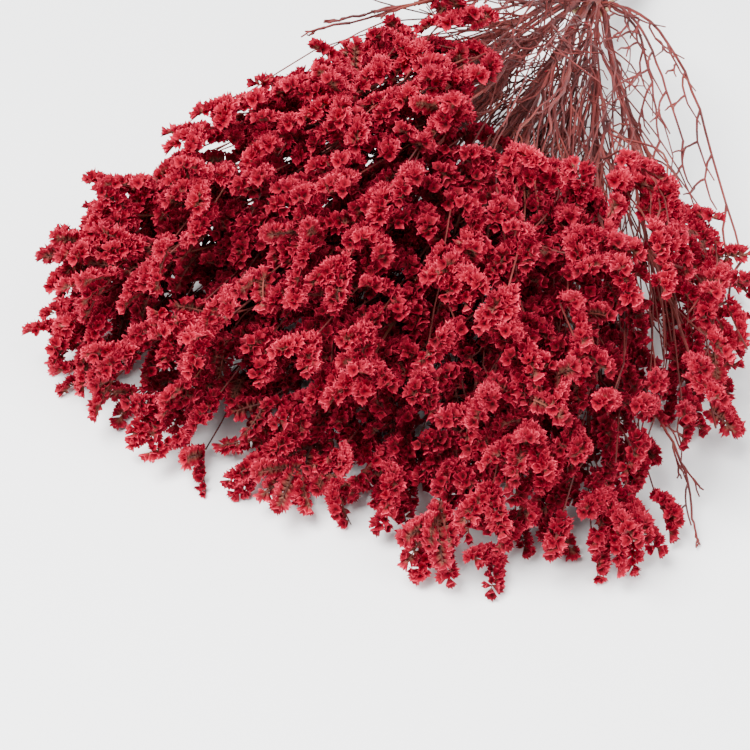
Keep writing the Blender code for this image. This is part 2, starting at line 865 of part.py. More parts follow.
def main():
    for obj in list(bpy.data.objects):
        bpy.data.objects.remove(obj)
    parts, cutters = collection("dried_statice"), collection("cutters")
    finishes = {
        "stem": material("statice_stem", STEM_COLOUR, 0.75),
        "floret": material("statice_floret", FLORET_COLOUR, 0.8),
    }
    tie_finish = material("tie_cord", TIE_COLOUR, 0.85)
    sections = {n: profile(f"section_{n}", n, cutters) for n in (LEADER_SIDES, CORD_SIDES)}
    cutter = floor_cutter(cutters)
    sprays = plan_sprays()
    rest_drop = end_drop(sprays)
    draw = random.Random(SEED + 1)
    for spray in sprays:
        build_spray(spray, rest_drop, sections, finishes, cutter, parts, draw)
    build_tie(sprays, sections, tie_finish, parts)


main()
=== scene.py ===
"""Looks of the dried statice: papery red florets on fine brown stems, held by a twine tie.

Metres, +Z up, in the frame of the CAD model. Each CAD spray is replaced by two finer pieces, its
stems and its flowers, that follow the same seeded rule as the solids. Azimuths are in degrees from
-Y towards +X, elevations in degrees above the surface, and distances in metres from the tie.
"""

import logging
import math
import random
from collections.abc import Callable, Sequence
from dataclasses import dataclass, field
from enum import Enum

import bmesh
import bpy
import numpy as np
from mathutils import Matrix, Vector


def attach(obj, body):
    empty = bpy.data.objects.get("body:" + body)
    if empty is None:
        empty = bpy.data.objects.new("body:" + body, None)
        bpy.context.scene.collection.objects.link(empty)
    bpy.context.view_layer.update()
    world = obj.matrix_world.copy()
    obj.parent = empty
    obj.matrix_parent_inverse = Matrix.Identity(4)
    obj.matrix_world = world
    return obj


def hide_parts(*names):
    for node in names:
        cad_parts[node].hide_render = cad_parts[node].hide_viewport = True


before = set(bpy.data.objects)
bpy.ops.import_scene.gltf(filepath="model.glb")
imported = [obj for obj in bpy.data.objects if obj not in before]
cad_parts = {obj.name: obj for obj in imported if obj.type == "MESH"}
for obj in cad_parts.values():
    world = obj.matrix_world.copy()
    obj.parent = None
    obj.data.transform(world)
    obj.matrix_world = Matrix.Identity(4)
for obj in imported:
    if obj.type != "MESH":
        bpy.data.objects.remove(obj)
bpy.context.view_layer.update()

log = logging.getLogger("dried_statice")

# The first and last value along a line, or the least and most of a random draw.
Span = tuple[float, float]
# An azimuth and an elevation in degrees, and a distance from the middle of the tie in metres.
Spot = tuple[float, float, float]
# Positions on a colour ramp, each with its linear colour.
Stops = tuple[tuple[float, tuple[float, float, float]], ...]


def direction(azimuth: float, elevation: float) -> Vector:
    """Turns two angles into a direction.

    Args:
        azimuth: Degrees from -Y, positive towards +X.
        elevation: Degrees above the surface.

    Returns:
        The unit vector at these angles.
    """
    a, e = math.radians(azimuth), math.radians(elevation)
    return Vector((math.sin(a) * math.cos(e), -math.cos(a) * math.cos(e), math.sin(e)))


def angles(vector: Vector) -> tuple[float, float]:
    """Turns a direction into angles.

    Args:
        vector: Any vector that isn't vertical.

    Returns:
        Its azimuth and elevation in degrees.
    """
    flat = math.hypot(vector.x, vector.y)
    return math.degrees(math.atan2(vector.x, -vector.y)), math.degrees(math.atan2(vector.z, flat))


def place_of(spot: Spot) -> Vector:
    """Returns a spot's place, measured from the tie."""
    return direction(*spot[:2]) * spot[2]


def spot_of(offset: Vector) -> Spot:
    """Returns the spot of a place that is measured from the tie."""
    return (*angles(offset), offset.length)


def random_unit(draw: random.Random) -> Vector:
    """Draws a direction evenly from all directions.

    Args:
        draw: The seeded generator.

    Returns:
        A unit vector.
    """
    z, turn = draw.uniform(-1, 1), draw.uniform(0, 2 * math.pi)
    flat = math.sqrt(1 - z * z)
    return Vector((flat * math.cos(turn), flat * math.sin(turn), z))


def square_to(vector: Vector, axis: Vector) -> Vector:
    """Turns a vector to a right angle with an axis.

    Args:
        vector: The vector to turn.
        axis: The unit axis.

    Returns:
        The nearest unit vector that is square to the axis.
    """
    return (vector - axis * vector.dot(axis)).normalized()


def cubic(ends: Sequence[Vector], t: float) -> Vector:
    """Finds a point on a cubic bend.

    Args:
        ends: Start, its handle, the end's handle and the end.
        t: The share of the way, from 0 to 1.

    Returns:
        The point at that share.
    """
    s = 1 - t
    return ends[0] * s**3 + ends[1] * 3 * t * s * s + ends[2] * 3 * t * t * s + ends[3] * t**3


def cubic_points(ends: Sequence[Vector], steps: int) -> list[Vector]:
    """Returns steps + 1 points along a cubic bend, both ends among them."""
    return [cubic(ends, k / steps) for k in range(steps + 1)]


def linked(name: str, data: bpy.types.ID) -> bpy.types.Object:
    """Adds an object to the scene.

    Args:
        name: The object's name.
        data: Its mesh, curve, lamp or camera.

    Returns:
        The object, at the origin.
    """
    obj = bpy.data.objects.new(name, data)
    bpy.context.scene.collection.objects.link(obj)
    return obj


@dataclass(frozen=True)
class Layer:
    """Sprays that leave the tie at about the same slope, spread evenly from side to side."""

    elevation: float
    sprays: int
    half_span: float
    spikes: int
    reach: float = 1.0
    middle: float = 0.0


@dataclass
class Spike:
    """A flower spike: where its stalk starts, where it points and where its florets face."""

    leaves: float
    base: Vector
    along: Vector
    crest: Vector
    length: float
    curl: float

    def point(self, t: float) -> Vector:
        """Returns the point at the share t of the curled stalk."""
        return self.base + self.along * self.length * t - self.crest * self.curl * t * t

    def heading(self, t: float) -> Vector:
        """Returns the stalk's direction at the share t."""
        return (self.along * self.length - self.crest * 2 * self.curl * t).normalized()

    def side(self) -> Vector:
        """Returns the direction across the spike."""
        return self.along.cross(self.crest)


@dataclass(frozen=True)
class Pocket:
    """A dark gap between clumps at the front of the head, from its mouth down to its end."""

    mouth: Spot
    end: Spot
    radius: float

    def holds(self, offset: Vector) -> bool:
        """Tests whether a point lies in it.

        Args:
            offset: The point, measured from the tie.

        Returns:
            True inside.
        """
        first = place_of(self.mouth)
        run = place_of(self.end) - first
        share = min(1.0, max(0.0, (offset - first).dot(run) / run.length_squared))
        return (offset - first - run * share).length < self.radius


@dataclass
class Spray:
    """One stem, the cone of space that it may fill between its walls, and the spikes that it carries."""

    name: str
    layer: Layer
    tie: Vector
    heading: Vector
    at_tie: Vector
    walls: list[Vector]
    spikes: list[Spike] = field(default_factory=list)
    fade: float = 0.12
    sway: float = 0.0025
    sway_rate: float = 40.0
    sway_shift: float = 9.0
    sway_start: float = 0.1
    twig_bend: float = 0.36

    def room(self, point: Vector) -> float:
        """Returns how far inside the cone the point is."""
        return min((point - self.tie).dot(wall) for wall in self.walls)

    def leader_point(self, distance: float) -> Vector:
        """Finds a point on the main stem.

        Args:
            distance: Metres from the tie.

        Returns:
            The point at that distance.
        """
        phase = distance * self.sway_rate + self.sway_shift * self.heading.x
        sway = self.sway * math.sin(phase) * min(1.0, distance / self.sway_start)
        side = Vector((-self.heading.y, self.heading.x, 0)).normalized()
        fade = max(0.0, 1 - distance / self.fade)
        return self.tie + self.at_tie * fade + self.heading * distance + side * sway

    def twig_ends(self, spike: Spike) -> list[Vector]:
        """Finds the bend that joins a spike to the main stem.

        Args:
            spike: The spike at the twig's end.

        Returns:
            The bend's start, two handles and end.
        """
        foot = self.leader_point(spike.leaves)
        handle = (spike.base - foot).length * self.twig_bend
        return [foot, foot + self.heading * handle, spike.base - spike.along * handle, spike.base]

    def twig_points(self, spike: Spike, steps: int) -> list[Vector]:
        """Returns steps + 1 points along the twig of the spike."""
        return cubic_points(self.twig_ends(spike), steps)


@dataclass(frozen=True)
class Head:
    """The outline of the flower head: how far, how high and how wide the flowers go, and where they begin.

    Inside it they are fewer, and a hollow at its front and a bare zone at its right have none.
    """

    reach: float = 0.326
    bulge: float = 0.016
    bulge_middle: float = 9.5
    bulge_width: float = 6.0
    fall_left: float = 0.14
    fall_right: float = 0.4
    fall_up: float = 0.32
    side_rounding: float = 6.0
    up_rounding: float = 1.7
    start: float = 0.168
    start_fall: float = 0.1
    start_left: float = 0.6
    start_right: float = 0.3
    start_rounding: float = 4.0
    widest: float = 30.0
    highest: float = 23.3
    span_left: float = 27.5
    side_top: float = -1.0
    top_rounding: float = 2.0
    shell_depth: float = 0.075
    shell_angle: float = 7.0
    hollow_elevation: float = 2.0
    hollow_depth: float = 1.6
    hollow_width: float = 9.0
    hollow_from: float = 0.29
    bare_left: float = 1.0
    bare_right: float = 24.0
    bare_slope: float = 7.5
    bare_rise: float = 125.0
    # The depths, in metres, over which the painted shade of florets deep in the bunch grows from none to
    # full.
    painted_shade: Span = (0.012, 0.036)

    def far(self, azimuth: float, elevation: float) -> float:
        """Finds how far from the tie the flowers go.

        Args:
            azimuth: Degrees to the side.
            elevation: Degrees up.

        Returns:
            The distance in metres, shorter upwards and at the sides.
        """
        up = max(0.0, elevation) / self.highest
        across = min(1.0, abs(azimuth) / self.widest)
        fall = self.fall_right if azimuth > 0 else self.fall_left
        rise = 1 - self.fall_up * up**self.up_rounding
        further = self.bulge * math.exp(-(((azimuth - self.bulge_middle) / self.bulge_width) ** 2))
        return (self.reach + further) * rise * (1 - fall * across**self.side_rounding)

    def near(self, azimuth: float, elevation: float) -> float:
        """Finds how far from the tie the flowers begin.

        Args:
            azimuth: Degrees to the side.
            elevation: Degrees up.

        Returns:
            The distance in metres, shorter upwards and longer at the sides.
        """
        later = self.start_right if azimuth > 0 else self.start_left
        across = abs(azimuth) / self.widest
        fall = self.start_fall * max(0.0, elevation) / self.highest
        return self.start * (1 - fall) * (1 + later * across**self.start_rounding)

    def top(self, azimuth: float) -> float:
        """Returns the steepest angle with flowers at this azimuth, in degrees."""
        span = self.span_left if azimuth < 0 else self.widest
        return max(self.side_top, self.highest * (1 - (abs(azimuth) / span) ** self.top_rounding))

    def in_bare(self, spot: Spot) -> bool:
        """Tests for the zone of bare stems between the tie and the right part of the head.

        Args:
            spot: The spot to test.

        Returns:
            True above the stems that show bare.
        """
        azimuth, elevation, distance = spot
        rise = self.bare_slope + (distance - self.start) * self.bare_rise
        return self.bare_left < azimuth < self.bare_right and elevation > rise

    def in_hollow(self, spot: Spot) -> bool:
        """Tests for the dark hollow at the front.

        Args:
            spot: The spot to test.

        Returns:
            True in the hollow.
        """
        azimuth, elevation, distance = spot
        return (
            distance > self.hollow_from
            and abs(azimuth) < self.hollow_width
            and abs(elevation - self.hollow_elevation) < self.hollow_depth
        )

    def in_middle(self, spot: Spot) -> bool:
        """Tests for the inside of the head, where flowers would be hidden.

        Args:
            spot: The spot to test.

        Returns:
            True inside.
        """
        azimuth, elevation, distance = spot
        return (
            distance < self.far(azimuth, elevation) - self.shell_depth
            and abs(azimuth) < self.widest - self.shell_angle
            and elevation < self.top(azimuth) - self.shell_angle
        )

    def painted_shade_at(self, spot: Spot, height: float) -> float:
        """Tells how much painted shade darkens the flowers that stand deep in the bunch and those low near
        the surface.

        Args:
            spot: Where they stand.
            height: Their height above the surface.

        Returns:
            A share from 0 on the outside to 1 deep inside.
        """
        azimuth, elevation, distance = spot
        start, end = self.painted_shade
        above = math.radians(self.top(azimuth) - elevation) * distance
        beyond = self.far(azimuth, elevation) - distance
        aside = math.radians(self.widest - abs(azimuth)) * distance
        depth = min(above, beyond, aside, height + start)
        return min(1.0, max(0.0, (depth - start) / (end - start)))


HEAD = Head()


@dataclass(frozen=True)
class Search:
    """How spots are drawn round a spray's heading, within the outline of the head."""

    lowest: float
    margin: float
    inset: float
    bias: float
    shoulder: float = 0.0
    shoulder_middle: float = -16.0
    shoulder_width: float = 3.0
    azimuth: float = 8.0
    elevation: float = 6.0

    def limit(self, azimuth: float) -> float:
        """Returns the steepest angle at this azimuth, with a shoulder on the left."""
        off = (azimuth - self.shoulder_middle) / self.shoulder_width
        return HEAD.top(azimuth) + self.margin + self.shoulder * math.exp(-off * off)

    def spot(self, spray: Spray, draw: random.Random) -> Spot:
        """Draws a spot.

        Args:
            spray: The spray.
            draw: The seeded generator.

        Returns:
            The spot, more often near the outline when the bias is below 1.
        """
        azimuth, elevation = angles(spray.heading)
        a = azimuth + draw.uniform(-self.azimuth, self.azimuth)
        a = max(-HEAD.widest, min(HEAD.widest, a))
        e = elevation + draw.uniform(-self.elevation, self.elevation)
        e = max(self.lowest, min(self.limit(a), e))
        far = HEAD.far(a, e) * spray.layer.reach - self.inset
        near = HEAD.near(a, e) * spray.layer.reach
        return a, e, near + (far - near) * draw.random() ** self.bias


@dataclass(frozen=True)
class SpikeRule:
    """How a spike points, faces and curls, and where its twig leaves the main stem."""

    away_from: Spot = (0.0, 4.0, 0.17)
    length: float = 0.0205
    inset: float = 0.6
    curl: float = 0.0046
    tilt: Span = (0.1, 0.75)
    lengths: Span = (0.85, 1.15)
    lift: float = 0.35
    turn: float = 0.55
    leads: Span = (0.012, 0.03)
    twig_slope: float = 0.62
    first_branch: float = 0.09

    def spike(self, spray: Spray, centre: Vector, draw: random.Random) -> Spike:
        """Draws a spike round a point.

        Args:
            spray: The spray that carries it.
            centre: The middle of the spike.
            draw: The seeded generator.

        Returns:
            A spike that points outwards and faces away from the middle of the head.
        """
        radial = (centre - spray.tie).normalized()
        tilt = square_to(random_unit(draw), radial) * draw.uniform(*self.tilt)
        along = (radial + tilt).normalized()
        middle = spray.tie + place_of(self.away_from)
        outward = (centre - middle).normalized() + Vector((0, 0, self.lift))
        crest = square_to(outward + random_unit(draw) * self.turn, along)
        length = self.length * draw.uniform(*self.lengths)
        base = centre - along * length * 0.5
        to_base = base - spray.tie
        reach = to_base.dot(spray.heading)
        off = (to_base - spray.heading * reach).length
        leaves = max(self.first_branch, reach - off / self.twig_slope - draw.uniform(*self.leads))
        return Spike(leaves, base, along, crest, length, self.curl)


RULE = SpikeRule()


@dataclass(frozen=True)
class SpikePlacing:
    """How the spikes of the CAD model find their places, clear of each other, the surface and the walls."""

    search: Search = Search(lowest=-7.0, margin=1.0, inset=RULE.length * RULE.inset, bias=0.7)
    candidates: int = 500
    pitch: float = 0.0165
    inner_share: float = 0.45
    clearance: float = 0.0066
    to_twig: float = 0.0108
    test_steps: int = 8
    twig_radius: float = 0.0008
    floor: float = 0.009
    stalk_floor: float = 0.003
    twig_floor: float = 0.002
    end_twig: float = 0.03
    end_pull: float = 2.0

    def fits(self, spray: Spray, spike: Spike) -> bool:
        """Tests whether a spike and its twig keep clear of the cone's walls and the surface.

        Args:
            spray: The spray.
            spike: The spike to test.

        Returns:
            True if it fits.
        """
        stalk = [spike.point(t) for t in (0.0, 0.5, 1.0)]
        if min(spray.room(p) for p in stalk) < self.clearance:
            return False
        if min(p.z for p in stalk) < self.stalk_floor:
            return False
        twig = spray.twig_points(spike, self.test_steps // 2)
        inside = min(spray.room(p) for p in twig) > 2 * self.twig_radius
        return inside and min(p.z for p in twig) > self.twig_floor

    def clear_of_others(self, spray: Spray, spike: Spike) -> bool:
        """Tests whether no twig of the spray runs through another spike.

        Args:
            spray: The spray.
            spike: The spike to add.

        Returns:
            True if all are clear.
        """
        for other in spray.spikes:
            for one, passing in ((spike, other), (other, spike)):
                middle = one.point(0.5)
                twig = spray.twig_points(passing, self.test_steps)
                if min((point - middle).length for point in twig) < self.to_twig:
                    return False
        return True

    def end_spike(self, spray: Spray, centre: Vector, draw: random.Random) -> Spike:
        """Draws the spike that ends the main stem itself.

        Args:
            spray: The spray.
            centre: The middle of the spike.
            draw: The seeded generator.

        Returns:
            The end spike, nearly in line with the stem.
        """
        spike = RULE.spike(spray, centre, draw)
        spike.along = (spray.heading * self.end_pull + spike.along).normalized()
        spike.crest = square_to(spike.crest, spike.along)
        spike.base = centre - spike.along * spike.length * 0.5
        spike.leaves = (spike.base - spray.tie).dot(spray.heading) - self.end_twig
        return spike

    def best_place(self, spray: Spray, taken: list[Vector], draw: random.Random) -> Spike | None:
        """Looks for the free place furthest from the spikes placed so far.

        Args:
            spray: The spray to add to.
            taken: The middles of all spikes so far. The new one is added.
            draw: The seeded generator.

        Returns:
            The spike there, or None where none fits.
        """
        best, best_distance, best_centre = None, 0.0, Vector()
        for _ in range(self.candidates):
            spot = self.search.spot(spray, draw)
            centre = spray.tie + place_of(spot)
            if HEAD.in_hollow(spot) or HEAD.in_bare(spot) or centre.z < self.floor:
                continue
            gap = min((centre - other).length for other in taken)
            if gap < self.pitch:
                continue
            if HEAD.in_middle(spot):
                gap *= self.inner_share
            if gap <= best_distance:
                continue
            spike = RULE.spike(spray, centre, draw)
            if self.fits(spray, spike) and self.clear_of_others(spray, spike):
                best, best_distance, best_centre = spike, gap, centre
        if best is not None:
            taken.append(best_centre)
        return best

    def fill(self, spray: Spray, taken: list[Vector], draw: random.Random) -> None:
        """Gives a spray its end spike and as many others as its layer asks for and fit.

        Args:
            spray: The spray, which gets the spikes.
            taken: The middles of all spikes so far. The new ones are added.
            draw: The seeded generator.
        """
        tip = HEAD.far(*angles(spray.heading)) * spray.layer.reach
        top = spray.tie + spray.heading * (tip - self.search.inset)
        spray.spikes.append(self.end_spike(spray, top, draw))
        taken.append(top)
        while len(spray.spikes) < spray.layer.spikes:
            spike = self.best_place(spray, taken, draw)
            if spike is None:
                break
            spray.spikes.append(spike)


@dataclass(frozen=True)
class FillerPlacing:
    """How smaller spikes fill the head between those of the CAD model, and where they are missing.

    They are fewer and fewer to the right, and there are none in a notch at the lower right, near the
    tie, over the bare stems and in the pockets.
    """

    search: Search = Search(lowest=-4.2, margin=-1.5, inset=0.009, bias=0.5, shoulder=4.0)
    tries: int = 620
    pitch: float = 0.0115
    inner_share: float = 0.8
    length: float = 0.72
    leaves: Span = (0.02, 0.9)
    clearance: float = 0.0003
    floor: float = 0.006
    thin_from: float = 11.0
    thinning: float = 0.07
    thinnest: float = 0.6
    notch_from: float = 19.2
    notch: Span = (0.278, 0.310)
    notch_slope: float = 0.0046
    notch_floor: float = -2.5
    nearest: float = 0.150
    bare_slack: float = 1.5
    pockets: tuple[Pocket, ...] = (
        Pocket((-5.6, 3.1, 0.313), (-6.8, 1.4, 0.304), 0.011),
        Pocket((-8.1, 3.8, 0.316), (-9.2, 2.2, 0.307), 0.010),
        Pocket((-1.5, 8.8, 0.306), (-3.9, 4.4, 0.276), 0.010),
        Pocket((2.8, 7.9, 0.299), (1.8, 5.2, 0.282), 0.010),
        Pocket((8.2, 5.3, 0.295), (7.9, 2.6, 0.280), 0.009),
        Pocket((-13.8, 12.5, 0.267), (-16.8, 7.0, 0.245), 0.010),
    )

    def is_bare(self, spot: Spot) -> bool:
        """Tells whether flowers would hide the bare stems.

        Args:
            spot: The spot to test.

        Returns:
            True in the bare zone, and everywhere near the tie.
        """
        azimuth, elevation, distance = spot
        return distance < self.nearest or HEAD.in_bare((azimuth, elevation - self.bare_slack, distance))

    def is_thinned(self, spot: Spot, draw: random.Random) -> bool:
        """Draws whether flowers are missing here, on the loose right side.

        Args:
            spot: The spot to test.
            draw: The seeded generator.

        Returns:
            True for a share that grows to the right, and everywhere in the notch.
        """
        azimuth, elevation, distance = spot
        below = distance - self.notch_slope * elevation
        if azimuth > self.notch_from and self.notch[0] < below < self.notch[1]:
            return True
        missing = min(self.thinnest, (azimuth - self.thin_from) * self.thinning)
        return elevation > self.notch_floor and draw.random() < missing

    def is_missing(self, spot: Spot, draw: random.Random) -> bool:
        """Returns whether a small spike is left out at this spot."""
        return self.is_bare(spot) or self.is_thinned(spot, draw)

    def filler(self, spray: Spray, taken: list[Vector], draw: random.Random) -> Spike | None:
        """Tries to place one small spike.

        Args:
            spray: The spray to add to.
            taken: The middles of all spikes so far. The new one is added.
            draw: The seeded generator.

        Returns:
            The spike, or None where it would stand in a gap, too low or too near to another.
        """
        spot = self.search.spot(spray, draw)
        centre = spray.tie + place_of(spot)
        offset = centre - spray.tie
        if HEAD.in_hollow(spot) or centre.z < self.floor:
            return None
        if any(pocket.holds(offset) for pocket in self.pockets) or self.is_missing(spot_of(offset), draw):
            return None
        if HEAD.in_middle(spot) and draw.random() > self.inner_share:
            return None
        if min((centre - other).length for other in taken) < self.pitch:
            return None
        spike = RULE.spike(spray, centre, draw)
        spike.length *= self.length
        if min(spray.room(spike.point(t)) for t in (0.0, 1.0)) < self.clearance:
            return None
        first, last = self.leaves
        spike.leaves = first + (spike.leaves * last - first) * draw.random()
        taken.append(centre)
        return spike

    def fill(self, sprays: Sequence[Spray], draw: random.Random) -> list[list[Spike]]:
        """Places all small spikes.

        Args:
            sprays: The sprays with their CAD spikes.
            draw: The seeded generator.

        Returns:
            The small spikes of each spray.
        """
        taken = [spike.point(0.5) for spray in sprays for spike in spray.spikes]
        found = []
        for spray in sprays:
            tries = [self.filler(spray, taken, draw) for _ in range(self.tries)]
            found.append([spike for spike in tries if spike is not None])
        return found


@dataclass(frozen=True)
class StemPack:
    """How the stems are packed side by side in the tie: drawn to their middle and pushed apart."""

    radius: float = 0.0012
    gap: float = 0.0004
    steps: int = 900
    pull_steps: int = 500
    pull: float = 0.99

    def places(self, headings: Sequence[Vector]) -> list[Vector]:
        """Packs the stems.

        Args:
            headings: The direction of each spray.

        Returns:
            Each stem's place across the tie.
        """
        pitch = 2 * self.radius + self.gap
        places = [Vector((h.x, h.z)) * self.radius * len(headings) for h in headings]
        for step in range(self.steps):
            if step < self.pull_steps:
                centre = sum(places, Vector((0, 0))) / len(places)
                places = [centre + (p - centre) * self.pull for p in places]
            for i, first in enumerate(places):
                for second in places[i + 1 :]:
                    apart = second - first
                    if apart.length < pitch:
                        push = apart.normalized() * (pitch - apart.length) / 2
                        first -= push
                        second += push
        middle = sum(places, Vector((0, 0))) / len(places)
        return [Vector((p.x - middle.x, 0, p.y - middle.y)) for p in places]


@dataclass(frozen=True)
class BunchPlan:
    """The seeded rule that places every spray and spike, as in the CAD model, and small spikes between."""

    seed: int = 15
    tie_place: tuple[float, float, float] = (0.0088, 0.0974, 0.031)
    heading_jitter: float = 1.3
    slope_jitter: float = 0.8
    stems: StemPack = StemPack()
    spikes: SpikePlacing = SpikePlacing()
    fillers: FillerPlacing = FillerPlacing()
    layers: tuple[Layer, ...] = (
        Layer(elevation=-2.2, sprays=6, half_span=25.0, spikes=8),
        Layer(elevation=4.8, sprays=5, half_span=20.0, spikes=7),
        Layer(elevation=12.0, sprays=4, half_span=15.0, spikes=7),
        Layer(elevation=18.8, sprays=3, half_span=9.5, spikes=6),
        Layer(elevation=26.0, sprays=1, half_span=0.0, spikes=4, reach=0.95, middle=-3.0),
    )

    @property
    def tie(self) -> Vector:
        """Returns the middle of the tie."""
        return Vector(self.tie_place)

    def headings(self, draw: random.Random) -> list[tuple[Layer, Vector]]:
        """Draws each spray's direction.

        Args:
            draw: The seeded generator.

        Returns:
            The layer and heading of each spray, lowest layer first.
        """
        headings = []
        for layer in self.layers:
            for k in range(layer.sprays):
                share = 0.0 if layer.sprays == 1 else 2 * k / (layer.sprays - 1) - 1
                jitter = draw.uniform(-self.heading_jitter, self.heading_jitter)
                slope = draw.uniform(-self.slope_jitter, self.slope_jitter)
                azimuth = layer.middle + share * layer.half_span + jitter
                headings.append((layer, direction(azimuth, layer.elevation + slope)))
        return headings

    def sprays(self) -> list[Spray]:
        """Places the sprays.

        Returns:
            All sprays with their cones and spikes.
        """
        draw = random.Random(self.seed)
        planned = self.headings(draw)
        headings = [heading for _, heading in planned]
        places = self.stems.places(headings)
        sprays: list[Spray] = []
        taken: list[Vector] = []
        for number, ((layer, heading), place) in enumerate(zip(planned, places), 1):
            walls = [(heading - other).normalized() for other in headings if other is not heading]
            spray = Spray(f"spray_{number:02d}", layer, self.tie, heading, place, walls)
            self.spikes.fill(spray, taken, draw)
            sprays.append(spray)
        return sprays


class Hand:
    """The modelling moves that are repeated: select by place, then run Blender's own operators."""

    @staticmethod
    def clear_selection() -> None:
        """Deselects every object, the CAD nodes among them."""
        for obj in bpy.context.selected_objects:
            obj.select_set(False)
        bpy.context.view_layer.objects.active = None

    @staticmethod
    def take(obj: bpy.types.Object) -> None:
        """Makes an object the only one that is selected and active.

        Args:
            obj: The object.
        """
        Hand.clear_selection()
        obj.select_set(True)
        bpy.context.view_layer.objects.active = obj

    @staticmethod
    def select(test: Callable[[Vector], bool]) -> None:
        """Selects vertices of the mesh in edit mode by their place, and what they bound.

        Args:
            test: True for a vertex to select.
        """
        shape = bmesh.from_edit_mesh(bpy.context.edit_object.data)
        for item in (*shape.faces, *shape.edges, *shape.verts):
            item.select = False
        for vertex in shape.verts:
            if test(vertex.co):
                vertex.select = True
        for item in (*shape.edges, *shape.faces):
            if all(test(vertex.co) for vertex in item.verts):
                item.select = True
        bmesh.update_edit_mesh(bpy.context.edit_object.data)

    @staticmethod
    def near(height: float, slack: float = 1e-5) -> Callable[[Vector], bool]:
        """Returns a test for vertices at this height."""
        return lambda place: abs(place.z - height) < slack

    @staticmethod
    def draw_to_point(rise: float) -> None:
        """Extrudes the selected edges or face upwards and closes them in one point."""
        bpy.ops.mesh.extrude_region_move(TRANSFORM_OT_translate={"value": (0, 0, rise)})
        bpy.ops.mesh.merge(type="CENTER")


class Opening(Enum):
    """How far a floret has opened, as the share of its full rim."""

    WIDE = 1.0
    HALF = 0.78
    NARROW = 0.56


@dataclass
class Stamp:
    """A small finished shape to be copied: its points, triangles and shares from foot to rim."""

    points: np.ndarray
    triangles: np.ndarray
    along: np.ndarray

    @staticmethod
    def finished(obj: bpy.types.Object, share: Callable[[Vector], float]) -> "Stamp":
        """Makes triangles that face outwards of the shape in edit mode, reads it and removes it.

        Args:
            obj: The shape's object.
            share: Gives a vertex's share of the way from foot to rim.

        Returns:
            The finished shape.
        """
        bpy.ops.mesh.select_all(action="SELECT")
        bpy.ops.mesh.quads_convert_to_tris()
        bpy.ops.mesh.normals_make_consistent(inside=False)
        bpy.ops.object.mode_set(mode="OBJECT")
        mesh = obj.data
        points = np.array([vertex.co[:] for vertex in mesh.vertices])
        # The merge leaves the faces in no fixed order, so they are put in one that is always the same.
        corners = [tuple(polygon.vertices) for polygon in mesh.polygons]
        triangles = np.array(sorted(min(c, c[1:] + c[:1], c[2:] + c[:2]) for c in corners))
        along = np.array([share(vertex.co) for vertex in mesh.vertices])
        bpy.data.objects.remove(obj)
        bpy.data.meshes.remove(mesh)
        return Stamp(points, triangles, along)


@dataclass(frozen=True)
class FloretShape:
    """One papery funnel with a ruffled rim of short lobes and a hollow throat."""

    rim_radius: float = 0.0019
    narrow_radius: float = 0.0006
    rim_height: float = 0.0039
    throat_height: float = 0.0018
    lobes: int = 8
    lobe_out: float = 1.03
    lobe_up: float = 0.0002
    fold_in: float = 0.86
    fold_down: float = 0.0005
    crumple: float = 0.0008
    # Folds stand a little past the rim on the colour ramps, so they get less of the painted rim highlight.
    fold_share: float = 0.55
    seam: float = 1e-4

    def stamp(self, opening: Opening, number: int) -> Stamp:
        """Models one variant.

        Args:
            opening: How far it has opened.
            number: The variant's number, which seeds its crumpling.

        Returns:
            The finished shape, in its own frame with its foot at the origin and its axis on Z.
        """
        rim = self.narrow_radius + (self.rim_radius - self.narrow_radius) * opening.value
        Hand.clear_selection()
        bpy.ops.mesh.primitive_cone_add(
            vertices=2 * self.lobes,
            radius1=0.0,
            radius2=rim,
            depth=self.rim_height,
            end_fill_type="NOTHING",
            location=(0, 0, self.rim_height / 2),
        )
        obj = bpy.context.object
        bpy.ops.object.transform_apply(location=True, rotation=False, scale=False)
        bpy.ops.object.mode_set(mode="EDIT")
        Hand.select(Hand.near(self.rim_height))
        Hand.draw_to_point(self.seam)
        bpy.ops.transform.translate(value=(0, 0, self.throat_height - self.rim_height - self.seam))
        self._pleat()
        Hand.select(lambda place: place.z > self.throat_height + self.seam)
        bpy.ops.transform.vertex_random(offset=self.crumple, seed=number)
        return Stamp.finished(obj, self._share)

    def _is_lobe(self, place: Vector) -> bool:
        """Tells a lobe's direction, less than a quarter of a lobe away, from a fold's."""
        turn = math.atan2(place.x, place.y) * self.lobes / (2 * math.pi)
        return abs(turn - round(turn)) < 0.25

    def _pleat(self) -> None:
        """Pulls the lobes' points out and up, and the folds between them in and down."""
        on_rim = Hand.near(self.rim_height)
        top = (0, 0, self.rim_height)
        Hand.select(lambda place: on_rim(place) and not self._is_lobe(place))
        bpy.ops.transform.resize(value=(self.fold_in, self.fold_in, 1), center_override=top)
        bpy.ops.transform.translate(value=(0, 0, -self.fold_down))
        Hand.select(on_rim)
        bpy.ops.transform.resize(value=(self.lobe_out, self.lobe_out, 1), center_override=top)
        bpy.ops.transform.translate(value=(0, 0, self.lobe_up))

    def _share(self, place: Vector) -> float:
        """Finds how far along the paper a vertex is.

        Args:
            place: The vertex.

        Returns:
            0 at the foot, 0.5 on a lobe's rim, a little more in a fold and 1 in the throat.
        """
        if place.xy.length < self.narrow_radius / 2:
            return 0.0 if place.z < self.throat_height / 2 else 1.0
        return 0.5 if self._is_lobe(place) else self.fold_share


